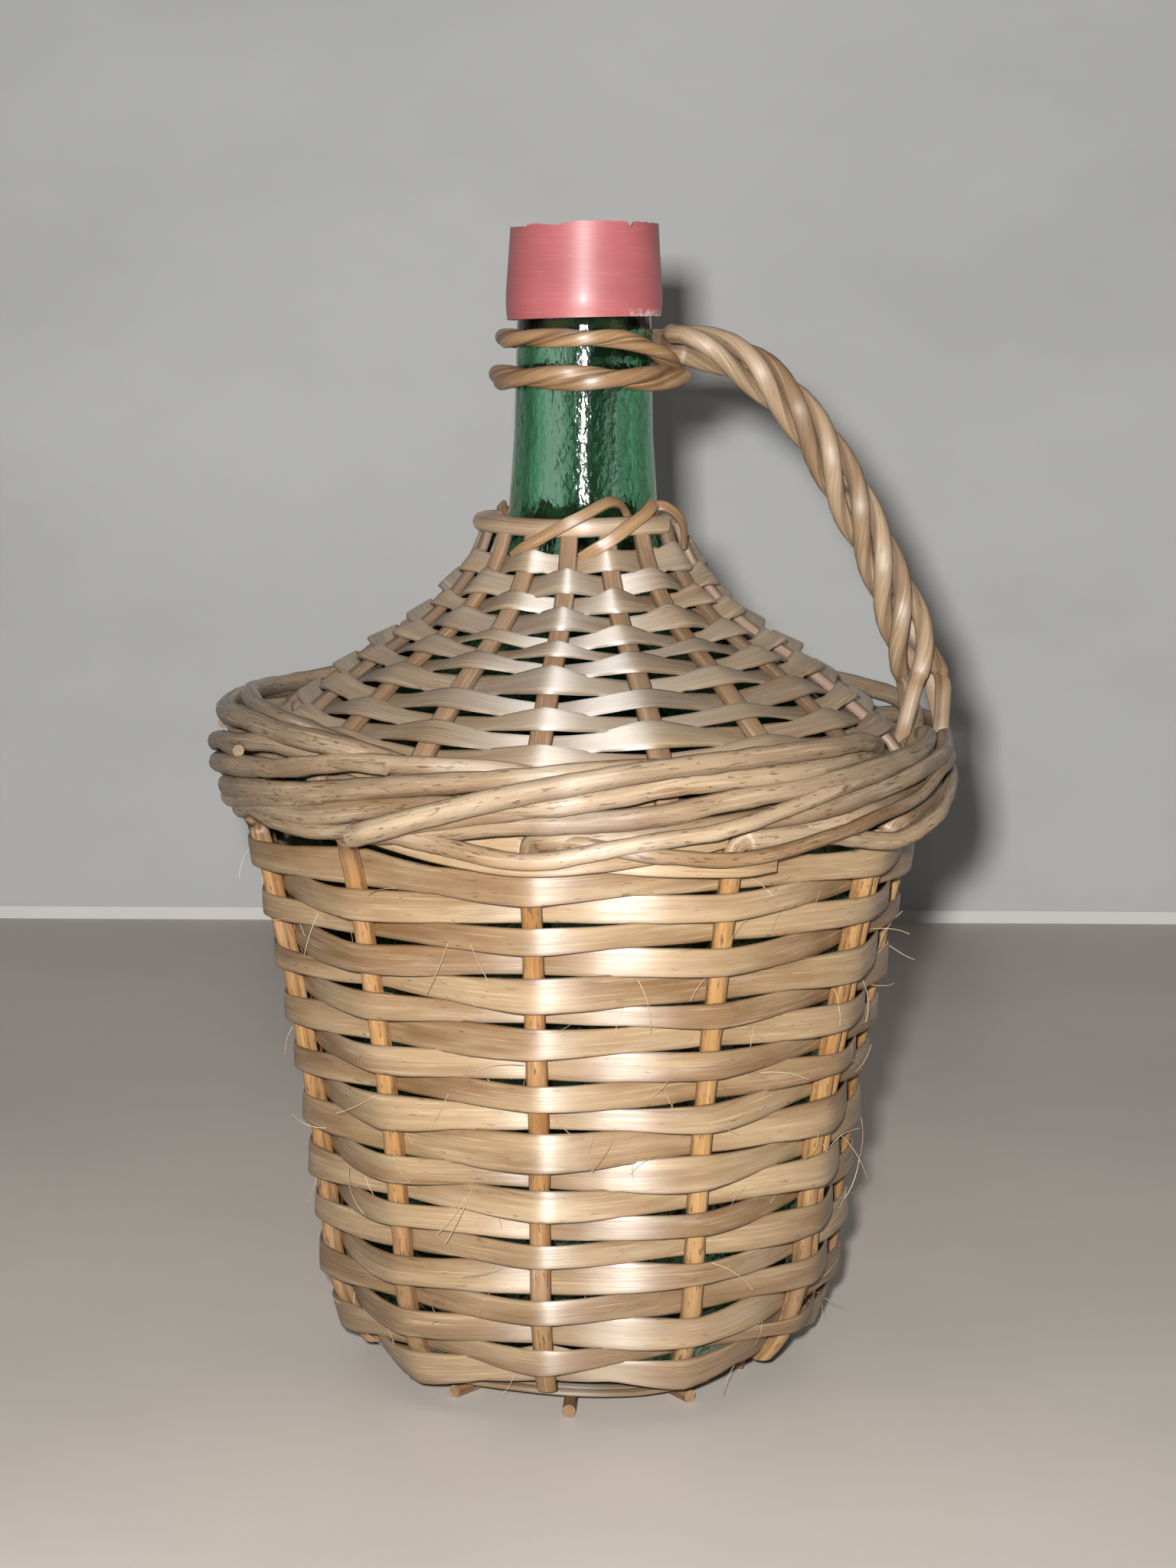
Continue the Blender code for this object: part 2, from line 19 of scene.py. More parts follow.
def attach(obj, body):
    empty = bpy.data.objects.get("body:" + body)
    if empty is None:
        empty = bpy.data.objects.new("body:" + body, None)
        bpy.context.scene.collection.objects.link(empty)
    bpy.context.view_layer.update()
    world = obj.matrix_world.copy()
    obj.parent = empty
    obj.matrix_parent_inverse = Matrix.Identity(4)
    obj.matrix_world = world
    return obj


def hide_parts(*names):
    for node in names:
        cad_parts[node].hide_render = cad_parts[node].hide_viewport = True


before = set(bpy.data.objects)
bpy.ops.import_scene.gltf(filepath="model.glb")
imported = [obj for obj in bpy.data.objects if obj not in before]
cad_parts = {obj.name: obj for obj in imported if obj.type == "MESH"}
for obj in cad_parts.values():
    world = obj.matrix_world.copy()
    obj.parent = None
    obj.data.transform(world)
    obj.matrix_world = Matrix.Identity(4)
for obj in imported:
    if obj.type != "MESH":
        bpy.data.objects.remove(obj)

bl_info = {
    "name": "Wicker demijohn",
    "version": (1, 0, 0),
    "blender": (4, 5, 0),
    "location": "View3D > Sidebar > Demijohn",
    "description": "Glass, willow weave, handle, cap, cork and stage for the wicker demijohn",
    "category": "Object",
}

# Clearances, as in the solid model
FIT_GAP = 0.0003
WEAVE_GAP = 0.0004
NORMAL_REACH = 0.002
SEARCH_STEP = 0.0005
SWING_ROUNDS = 6

# Glass bottle
GLASS_WALL = 0.0035
PUNT_HEIGHT = 0.006
FOOT_RADIUS = 0.046
FOOT_RING_WIDTH = 0.008
WAIST_RADIUS = 0.067
WAIST_HEIGHT = 0.046
SHOULDER_RADIUS = 0.087
SHOULDER_HEIGHT = 0.160
FLARE_POWER = 1.35
FLARE_SHARES = (0.3, 0.6, 0.85)
NECK_FOOT_RADIUS = 0.0204
NECK_FOOT_HEIGHT = 0.238
NECK_RADIUS = 0.0190
NECK_RISE = 0.020
LIP_RADIUS = 0.0190
LIP_HEIGHT = 0.015
LIP_ROUNDING = 0.0012
LIP_UNDERCUT = 0.0008
MOUTH_HEIGHT = 0.3065
MOUTH_RADIUS = 0.0138
SHOULDER_SHAPE = ((0.072, 0.173), (0.386, 0.404), (0.707, 0.596), (0.901, 0.788))

# Red cap and cork
CAP_WALL = 0.0012
CAP_SKIRT = 0.0165
CAP_RIM = 0.009
CAP_BELLY = 0.0008
CAP_RIM_DRAW = 0.0004
WEB_THICKNESS = 0.0012
WEB_HOLE_GAP = 0.0009
CORK_LENGTH = 0.030
CORK_STAND = 0.0075
CORK_CHAMFER = 0.0008

# Base of the basket
SPOKE_COUNT = 10
FIRST_SPOKE_DEG = -92.5
SPOKE_SIZE = 0.0036
SPOKE_REACH = 0.058
HUB_RADIUS = 0.009
MAT_THICKNESS = 0.0024
MAT_OVERLAP = 0.009

# Sides of the basket
STAKE_COUNT = 11
STAKE_RADIUS = 0.0026
FIRST_STAKE_DEG = -98.0
SKEIN_THICKNESS = 0.0011
SIDE_HALVES = 2
BODY_ROWS = 21
BODY_START_STAKE = 6
BODY_WEAVE_DROP = 0.0035
BORDER_REACH = 4.2
BORDER_ROD_RADIUS = 0.0029
BORDER_LEAN_DEG = 30.0
BORDER_CURL_DEG = 22.0
BORDER_ROOT_OUT = 0.0035
BORDER_STEP = 0.25
BEND_SIZE = 0.0040

# Cone over the shoulder
RIB_COUNT = 17
RIB_RADIUS = 0.0020
RIB_TIP_RADIUS = 0.0012
FIRST_RIB_DEG = -97.5
CONE_START_RIB = 8
CONE_SKEIN_THICKNESS = 0.0009
CONE_HALVES = 1
CONE_ROWS = 14
CONE_FOOT_RISE = 0.010
RIB_TAIL = 0.0035
RIB_RUNS = 40
COLLAR_ROD_RADIUS = 0.0024
COLLAR_DROP = 0.0030

# Neck rings and handle
UPPER_RING_DROP = 0.0220
UPPER_RING_ROD = 0.0024
LOWER_RING_DROP = 0.0105
LOWER_RING_ROD = 0.0016
STRAND_COUNT = 4
STRAND_RADIUS = 0.0024
STRAND_TURNS = 2.0
HANDLE_START_DROP = 0.0015
HANDLE_FLAT_RUN = 0.034
HANDLE_FOOT_IN = 0.0025
HANDLE_FOOT_LIFT = 0.0015
HANDLE_STEEP_RUN = 0.045
HANDLE_STEEP_LEAN = 0.013
STRAND_SPLAY = 0.0022

BOTTLE_FOOT = SPOKE_SIZE + FIT_GAP + MAT_THICKNESS + FIT_GAP
CORK_RADIUS = MOUTH_RADIUS - FIT_GAP
CAP_INNER_RADIUS = LIP_RADIUS + FIT_GAP
WEB_BOTTOM = MOUTH_HEIGHT + FIT_GAP
BORDER_ROOT_HEIGHT = SHOULDER_HEIGHT
BODY_WEAVE_TOP = BORDER_ROOT_HEIGHT - BODY_WEAVE_DROP
CONE_FOOT_HEIGHT = BORDER_ROOT_HEIGHT + CONE_FOOT_RISE
COLLAR_HEIGHT = NECK_FOOT_HEIGHT - COLLAR_DROP
UPPER_RING_HEIGHT = MOUTH_HEIGHT - UPPER_RING_DROP
LOWER_RING_HEIGHT = UPPER_RING_HEIGHT - LOWER_RING_DROP
HANDLE_START_HEIGHT = UPPER_RING_HEIGHT - HANDLE_START_DROP

# Camera and stage, measured from the photograph
PHOTO_HEIGHT_PX = 2048
FOCAL_PX = 4000.0
SENSOR = 36.0
CAMERA_PLACE = (0.0017, -0.842, 0.2778)
CAMERA_PITCH_DEG = -7.815
CAMERA_ROLL_DEG = 0.29
WALL_DISTANCE = 0.675
SEAM_HEIGHT = 0.0062
SEAM_OUT = 0.0005
STAGE_HALF = 3.0
KEY_PLACE = (-0.021, -0.842, 0.306)
KEY_AIM = (0.0, 0.0, 0.33)
TOP_PLACE = (0.0, -0.1, 1.7)
TOP_AIM = (0.0, 0.1, 0.0)
TOP_SIZE = 1.4
BACK_PLACE = (0.0, 0.63, 0.32)
BACK_AIM = (0.0, 0.0, 0.32)
BACK_SIZE = 0.6
LAMP_WHITE = (1.0, 0.985, 0.955)
SKY_WHITE = (1.0, 0.99, 0.97, 1.0)
# Painted light: how much paler the floor is painted towards the backdrop
FAR_FLOOR_PAINTED_LIGHT = (1.32, 1.27, 1.26)

# Sections of a base stick, and how much shorter each stick is than the longest
STICK_SECTIONS = 24
SPOKE_CUTS = (0.0, 0.0035, 0.0090, 0.0, 0.0020, 0.0, 0.0030, 0.0, 0.0090, 0.0040)

# The base mat: half its skein's width, the length of a step along it, and its swing over and under the sticks
MAT_SKEIN_HALF = 0.0021
MAT_STEP = 0.0025
MAT_SWING = 0.0005

# Runs of a stake's guide line, up the side and along the border, and how its thickness there varies
UPRIGHT_RUNS = 36
BORDER_RUNS = 20
ROD_GROWTH = (0.92, 1.10)

# The end of a border rod goes in behind the next ones: how far in and down, over how many stake spacings
TUCK_IN = 0.0090
TUCK_DOWN = 0.0115
TUCK_RUN = 1.1

# Each stake's doubled rod in the border: where the sag and the bulge are greatest, and how much they are
FULL_BORDER_DEG = -62.0
LEAST_SAG = 0.20
MORE_SAG = 0.90
LEAST_BULGE = -0.0012
MORE_BULGE = 0.0038

# The course of that rod: stake spacings from its bend, share of the bulge, and drop where the sag is one
PARTNER_COURSE = (
    (0.05, 0.0, 0.0000),
    (0.30, 0.6, 0.0010),
    (0.65, 0.9, 0.0050),
    (1.00, 1.0, 0.0080),
    (1.45, 1.0, 0.0070),
    (2.00, 0.9, 0.0045),
    (2.60, 0.5, 0.0020),
    (3.05, -0.6, 0.0010),
    (3.35, -2.0, 0.0070),
)
PARTNER_RADII = (0.0021, 0.0026)

# A second rod beside the third stake: where it starts, how far to the side, its radius and its runs
DOUBLE_STAKE_FOOT = 0.030
DOUBLE_STAKE_ASIDE = 0.0052
DOUBLE_STAKE_RADIUS = 0.0021
DOUBLE_STAKE_RUNS = 29

# How much broader a split rib is than it is thick
RIB_BREADTH = 1.95

# How far the cone's weave stands off the glass, and over which run from its foot it gets there
CONE_LIFT = 0.0013
CONE_LIFT_RUN = 0.05

# Skeins round the top of the sides, behind the stakes: height and half width of each
BORDER_SKEINS = ((0.1600, 0.0046), (0.1652, 0.0040))
BORDER_SKEIN_OUT = 0.0016
BORDER_SKEIN_RISE = 0.0010
BORDER_SKEIN_RUNS = 140

# Ribbons across the front under the border: degrees round, radius, height and half width
FRONT_SKEIN = (
    (-134.0, 0.0905, 0.1610, 0.0020),
    (-122.0, 0.0935, 0.1592, 0.0028),
    (-110.0, 0.0962, 0.1568, 0.0030),
    (-98.0, 0.0978, 0.1550, 0.0028),
    (-86.0, 0.0968, 0.1566, 0.0030),
    (-74.0, 0.0950, 0.1590, 0.0028),
    (-62.0, 0.0915, 0.1612, 0.0020),
)
SIDE_SKEIN = (
    (-100.0, 0.0905, 0.1585, 0.0032),
    (-90.0, 0.0915, 0.1568, 0.0038),
    (-78.0, 0.0945, 0.1552, 0.0036),
    (-66.0, 0.0975, 0.1540, 0.0030),
    (-60.0, 0.0980, 0.1535, 0.0016),
)

# The rod that crosses over the border's front: degrees round, radius, height and half width
FRONT_ROD = (
    (-125.0, 0.1005, 0.1600, 0.0029),
    (-119.0, 0.1030, 0.1632, 0.0031),
    (-108.0, 0.1040, 0.1690, 0.0030),
    (-97.0, 0.1042, 0.1742, 0.0029),
    (-86.0, 0.1040, 0.1780, 0.0028),
    (-75.0, 0.1036, 0.1806, 0.0027),
    (-64.0, 0.1030, 0.1820, 0.0026),
    (-53.0, 0.1018, 0.1828, 0.0025),
    (-43.0, 0.0980, 0.1826, 0.0024),
    (-35.0, 0.0935, 0.1800, 0.0023),
)
FRONT_ROD_TONE = 0.12

# The handle's hidden start, which hugs the back of the neck: degrees round, radius and height
HANDLE_ROOT = (
    (84.0, 0.0232, 0.2812),
    (60.0, 0.0236, 0.2818),
    (36.0, 0.0244, 0.2826),
    (15.0, 0.0256, 0.2831),
)

# Runs of the handle's guide lines: each span of the hidden start, the curve, and the strands
ROOT_RUNS = 7
HANDLE_CURVE_RUNS = 120
HANDLE_RUNS = 130

# How much less the handle bows than its solids, and the run over which its hidden start gets thin
HANDLE_SLACK = 0.0013
HANDLE_PINCH_RUN = 0.030

# Where each handle strand ends, inside the border: distance along the handle's plane, across it, and height
STRAND_FEET = (
    (0.0905, 0.0075, 0.1740),
    (0.1000, 0.0065, 0.1730),
    (0.0975, -0.0060, 0.1730),
    (0.0875, -0.0075, 0.1740),
)

# How many of a handle strand's last sections make way for its foot
FOOT_CUT = 7

# Rods laid over the border's far side: start and end degrees, radius, start and end height, half width
FOLLOWER_RODS = (
    (92.0, 232.0, 0.0935, 0.1850, 0.1880, 0.0026),
    (128.0, 252.0, 0.0975, 0.1855, 0.1815, 0.0030),
    (40.0, 168.0, 0.0925, 0.1870, 0.1860, 0.0025),
    (-8.0, 104.0, 0.0950, 0.1835, 0.1875, 0.0027),
    (118.0, 208.0, 0.0930, 0.1806, 0.1822, 0.0025),
)

# The course of such a rod: share of its sweep, and how far out and down from an even climb
FOLLOWER_COURSE = (
    (0.0, -0.006, 0.011),
    (0.10, -0.002, 0.004),
    (0.25, 0.0, 0.0),
    (0.5, 0.0, 0.0),
    (0.75, 0.0, 0.0),
    (0.90, -0.002, 0.004),
    (1.0, -0.006, 0.011),
)

# Low places of the cap's cut rim: degrees round, spread in degrees, and share of the tear
CAP_DIPS = (
    (-165.0, 50.0, 0.55),
    (-113.0, 12.0, 0.35),
    (-52.0, 2.6, 0.80),
    (-143.0, 2.2, 0.55),
    (-151.0, 2.8, 0.70),
    (-160.0, 2.0, 0.60),
)

# A cut end that stands up beside the collar: degrees round, and how far out and up from the rod
COLLAR_STUB = (
    (-62.0, -0.0032, -0.0020),
    (-50.0, -0.0030, 0.0030),
    (-40.0, 0.0002, 0.0052),
    (-31.0, 0.0034, 0.0010),
    (-28.0, 0.0036, -0.0065),
)
COLLAR_STUB_RADIUS = 0.0014

# Skeins looped over the collar: start and sweep in degrees, and share of the rise
COLLAR_LOOPS = (
    (-121.8, 59.0, 1.0),
    (-83.5, 46.0, 0.9),
    (30.0, 38.0, 0.6),
    (62.0, 36.0, 0.8),
    (92.0, 38.0, 0.7),
    (116.0, 38.0, 0.6),
)

# The course of a collar loop: share of its sweep, and how far out and up from the rod
LOOP_COURSE = (
    (-0.16, 0.0008, -0.0085),
    (0.00, 0.0026, -0.0060),
    (0.18, 0.0034, -0.0032),
    (0.38, 0.0034, 0.0004),
    (0.58, 0.0026, 0.0036),
    (0.76, 0.0006, 0.0062),
    (0.90, -0.0016, 0.0060),
    (1.00, -0.0030, 0.0038),
    (1.08, -0.0036, 0.0002),
)
LOOP_RADII = (0.0015, 0.0018)

# The collar's rod starts in front and runs backwards round the neck. Its end goes in and down.
COLLAR_START_DEG = -39.0
COLLAR_SWEEP_DEG = -318.0
COLLAR_RUNS = 96
COLLAR_TUCK_IN = 0.005
COLLAR_TUCK_DOWN = 0.004
COLLAR_TUCK_FROM = 0.93
COLLAR_TUCK_SHARE = 0.07

# Upright stretches of the glass, painted paler than the rest as painted light and darker as painted shade:
# degrees round and half width in degrees
PAINTED_LIGHT_STRETCHES = ((-121.0, 16.0), (-58.0, 10.0), (22.0, 8.0), (61.0, 11.0), (118.0, 19.0))
PAINTED_SHADE_STRETCHES = ((-163.0, 14.0), (-17.0, 10.0), (-90.0, 7.0), (172.0, 12.0))
EDGE_BLUR = 0.02
GLASS_ROUGHNESS = 0.085

# Powers that make a round cross-section a flat one: through its thickness and across its width
FLAT_CORNER = 0.35
FLAT_SPREAD = 0.6

# How far a strand's tone moves the pattern of its unevenness
TONE_SHIFT = 97.0

# How the skeins vary: most turns of one, least and greatest fullness, the share of the pitch that each fills,
# how many rows have the broad foot, and how far a skein leans out at its lower edge
LONGEST_SKEIN = 1.7
SKEIN_FULLNESS = (0.84, 1.16)
SKEIN_OVERLAP = 1.02
FOOT_ROWS = 3.0
SKEIN_LEAN_DEG = 9.0

# A loose fibre one metre long, its least and greatest turns, and the least share of the full length
FIBRE_BOW = ((0.0, 0.0, 0.0), (0.45, 0.12, 0.22), (1.0, -0.05, 0.16))
FIBRE_TURNS = ((-0.25, -0.35, -3.14), (0.25, 0.05, 3.14))
LEAST_FIBRE = 0.35

# Where the willow greys: heights at which the greying starts, and over how much height it comes
RIM_GREY_FROM, RIM_GREY_RUN = 0.145, 0.03
CONE_GREY_FROM, CONE_GREY_RUN, CONE_GREY = 0.176, 0.012, 0.9
FOOT_GREYING_FROM, FOOT_GREYING_RUN, FOOT_GREYING = 0.080, 0.055, 0.50

# Dark browns of willow, a pale painted shine, and pale patches that are partly dust and partly painted sheen
STREAK_BROWN = (0.26, 0.17, 0.09)
SHINE_PALE = (0.80, 0.66, 0.47)
PORE_BROWN = (0.10, 0.055, 0.026)
CRACK_BROWN = (0.13, 0.075, 0.035)
KNOT_BROWN = (0.17, 0.095, 0.045)
EDGE_BROWN = (0.16, 0.09, 0.04)
DUST_AND_SHEEN_PALE = (0.50, 0.44, 0.36)

# Each willow finish: shares of greying and of flecks, roughness, and satin
WILLOW_LOOKS = {
    "stick_willow": (0.35, 0.8, 0.52, 0.4),
    "base_skein": (0.3, 0.3, 0.55, 0.9),
    "stake_willow": (1.0, 0.8, 0.50, 0.55),
    "border_skein": (0.5, 0.5, 0.50, 0.6),
    "body_skein": (0.62, 0.6, 0.48, 0.90),
    "rib_willow": (0.35, 0.4, 0.5, 0.35),
    "shoulder_skein": (0.76, 0.45, 0.60, 1.0),
    "collar_willow": (0.15, 0.3, 0.46, 0.7),
    "collar_skein": (0.15, 0.3, 0.46, 0.7),
    "ring_willow": (0.15, 0.25, 0.46, 0.7),
    "handle_strand_willow": (0.45, 0.45, 0.50, 0.52),
}

# Colours of the smaller pieces
SCUFF_PALE = (0.80, 0.68, 0.66)
CORK_LIGHT, CORK_DARK, WINE_STAIN = (0.21, 0.125, 0.075), (0.10, 0.05, 0.035), (0.045, 0.014, 0.018)
HUB_BROWN = (0.12, 0.065, 0.03)
FIBRE_PALE, FIBRE_BROWN = (0.82, 0.70, 0.50), (0.46, 0.30, 0.15)

# Shares of the glass's relief: dimples, fine dimples and upright streaks
DIMPLES, FINE_DIMPLES, MOULD_STREAKS = 0.8, 0.55, 0.9

# Above this noise a pore is dark. The border's colours take over between the two heights.
PORES = 0.66
RIM_PORES = 0.60
RIM_COLOUR_HEIGHTS = (0.148, 0.160)


# Sizes and colours


def colour_property(name, description, default):
    return FloatVectorProperty(
        name=name, description=description, subtype="COLOR", size=3, min=0.0, max=1.0, default=default
    )


def length_property(name, description, default):
    return FloatProperty(name=name, description=description, default=default, unit="LENGTH")


def power_property(name, description, default):
    return FloatProperty(name=name, description=description, default=default, unit="POWER")


class GlassSettings(PropertyGroup):
    turn_steps: IntProperty(
        name="Turn steps", description="Facets round the turned glass, cap and cork", default=128, min=24
    )
    ripple: length_property("Ripple", "Height of the uneven, hammered surface", 0.00021)
    ripple_size: length_property("Ripple size", "Width of one dimple of the glass", 0.0045)
    # The glass tint is the colour painted in the stretches of painted light; the band tint is the colour
    # between them, which the stretches of painted shade darken.
    tint: colour_property("Glass tint", "Colour that light takes in the pale stretches", (0.88, 0.98, 0.92))
    band_tint: colour_property("Band tint", "Colour that light takes between them", (0.42, 0.68, 0.51))
    depth_tint: colour_property("Depth tint", "Colour that light takes inside the wall", (0.30, 0.91, 0.62))
    depth: FloatProperty(name="Depth", description="How fast the glass takes that colour", default=100.0)


class CapSettings(PropertyGroup):
    tear: length_property("Tear", "How deep the cut rim dips below its highest place", 0.0019)
    skew: length_property("Skew", "How much lower the skirt hangs at the left", 0.0006)
    red: colour_property("Cap red", "Colour of the moulded plastic", (0.395, 0.108, 0.117))
    wear: colour_property("Cap wear", "Colour of the scuffed plastic", (0.74, 0.50, 0.48))


class WeaveSettings(PropertyGroup):
    mat_gap: length_property("Mat gap", "Daylight between two rounds of the base mat", 0.00025)
    wander: length_property("Wander", "How far a row's edge strays from its even course", 0.0012)
    ruffle: length_property("Ruffle", "How uneven a skein's cut edge is", 0.00034)
    body_step: length_property("Body step", "Distance between sections of a body skein", 0.0023)
    cone_step: length_property("Cone step", "Distance between sections of a shoulder skein", 0.002)
    bend_softness: FloatProperty(
        name="Bend softness", description="Share of a spacing that a bend takes", default=0.06, min=0.005
    )
    seed: IntProperty(name="Seed", description="Picks the chance variation of the willow", default=7)


class WillowSettings(PropertyGroup):
    skein_light: colour_property("Skein light", "Pale stretches of the split skeins", (0.515, 0.365, 0.212))
    skein_dark: colour_property("Skein dark", "Brown stretches of the split skeins", (0.265, 0.150, 0.068))
    stake_light: colour_property("Stake light", "Pale stretches of the round stakes", (0.53, 0.305, 0.118))
    stake_dark: colour_property("Stake dark", "Brown stretches of the round stakes", (0.36, 0.168, 0.050))
    rib_light: colour_property("Rib light", "Pale stretches of the shoulder's ribs", (0.36, 0.225, 0.13))
    rib_dark: colour_property("Rib dark", "Brown stretches of the shoulder's ribs", (0.19, 0.11, 0.06))
    grey: colour_property("Weathered grey", "Willow that sun and dust have greyed", (0.215, 0.168, 0.122))
    cone_grey: colour_property("Cone grey", "Greyed willow of the shoulder", (0.345, 0.288, 0.225))
    rim_light: colour_property("Rim light", "Pale stretches of the border", (0.55, 0.415, 0.275))
    rim_dark: colour_property("Rim dark", "Brown stretches of the border", (0.235, 0.135, 0.066))
    handle_light: colour_property("Handle light", "Pale stretches of the handle", (0.43, 0.30, 0.185))
    handle_dark: colour_property("Handle dark", "Brown stretches of the handle", (0.25, 0.14, 0.065))
    ring_light: colour_property("Ring light", "Pale stretches of the neck rings", (0.40, 0.243, 0.118))
    ring_dark: colour_property("Ring dark", "Brown stretches of the neck rings", (0.19, 0.094, 0.038))


class StageSettings(PropertyGroup):
    floor_colour: colour_property("Floor colour", "Colour of the plain floor", (0.64, 0.595, 0.55))
    wall_colour: colour_property("Wall colour", "Colour of the plain backdrop", (0.69, 0.70, 0.70))
    seam_colour: colour_property("Seam colour", "Pale strip at the foot of the backdrop", (0.95, 0.95, 0.93))
    key_power: power_property("Key power", "Power of the soft key lamp", 12.0)
    key_size: length_property("Key size", "Side of the soft key lamp", 0.022)
    top_power: power_property("Top power", "Power of the wide top lamp", 0.9)
    back_power: power_property("Back power", "Power of the lamp behind", 5.0)
    bounce: FloatProperty(
        name="Bounce", description="Share of the stage's colour with which it lights the object", default=0.4
    )
    fill: FloatProperty(name="Fill", description="Strength of the even light from all round", default=0.055)
    backdrop: FloatProperty(name="Background", description="How pale it is beyond the backdrop", default=0.45)


# Node trees


class Tree:
    """Short ways to add nodes to a node tree and to join them."""

    def __init__(self, tree):
        self.tree = tree

    def add(self, kind, *values, **settings):
        """A node with these settings. Its inputs take the values in order, or the links that they are."""
        node = self.tree.nodes.new(kind)
        for name, value in settings.items():
            setattr(node, name, value)
        for socket, value in zip(node.inputs, values):
            self.put(socket, value)
        return node

    def fed(self, kind, given, **settings):
        """A node with these settings, whose inputs take the given values by name."""
        node = self.add(kind, **settings)
        for label, value in given.items():
            self.put(node.inputs[label], value)
        return node

    def put(self, socket, value):
        if isinstance(value, bpy.types.NodeSocket):
            self.tree.links.new(value, socket)
        else:
            socket.default_value = value

    def math(self, operation, *values):
        return self.add("ShaderNodeMath", *values, operation=operation).outputs[0]

    def vector(self, operation, *values):
        return self.add("ShaderNodeVectorMath", *values, operation=operation).outputs[0]


class ShapeTree(Tree):
    """A Geometry Nodes tree with named inputs."""

    def __init__(self, name, inputs):
        super().__init__(bpy.data.node_groups.new(name, "GeometryNodeTree"))
        faces = self.tree.interface
        faces.new_socket("Geometry", in_out="INPUT", socket_type="NodeSocketGeometry")
        for label, kind in inputs:
            faces.new_socket(label, in_out="INPUT", socket_type=kind)
        faces.new_socket("Geometry", in_out="OUTPUT", socket_type="NodeSocketGeometry")
        self.given = self.add("NodeGroupInput").outputs
        self.end = self.add("NodeGroupOutput")

    def scaled(self, vector, factor):
        given = {"Vector": vector, "Scale": factor}
        return self.fed("ShaderNodeVectorMath", given, operation="SCALE").outputs[0]

    def named(self, label, kind="FLOAT"):
        node = self.fed("GeometryNodeInputNamedAttribute", {"Name": label}, data_type=kind)
        return node.outputs["Attribute"]

    def store(self, geometry, label, value, kind="FLOAT"):
        given = {"Geometry": geometry, "Name": label, "Value": value}
        return self.fed("GeometryNodeStoreNamedAttribute", given, data_type=kind, domain="POINT").outputs[0]

    def move(self, geometry, offset):
        return self.fed("GeometryNodeSetPosition", {"Geometry": geometry, "Offset": offset}).outputs[0]

    def close(self, geometry, finish):
        """Real, smooth geometry with its finish, as the last step of a tree."""
        smooth = self.add("GeometryNodeSetShadeSmooth", geometry)
        real = self.add("GeometryNodeRealizeInstances", smooth.outputs[0])
        painted = self.fed("GeometryNodeSetMaterial", {"Geometry": real.outputs[0], "Material": finish})
        self.put(self.end.inputs[0], painted.outputs[0])


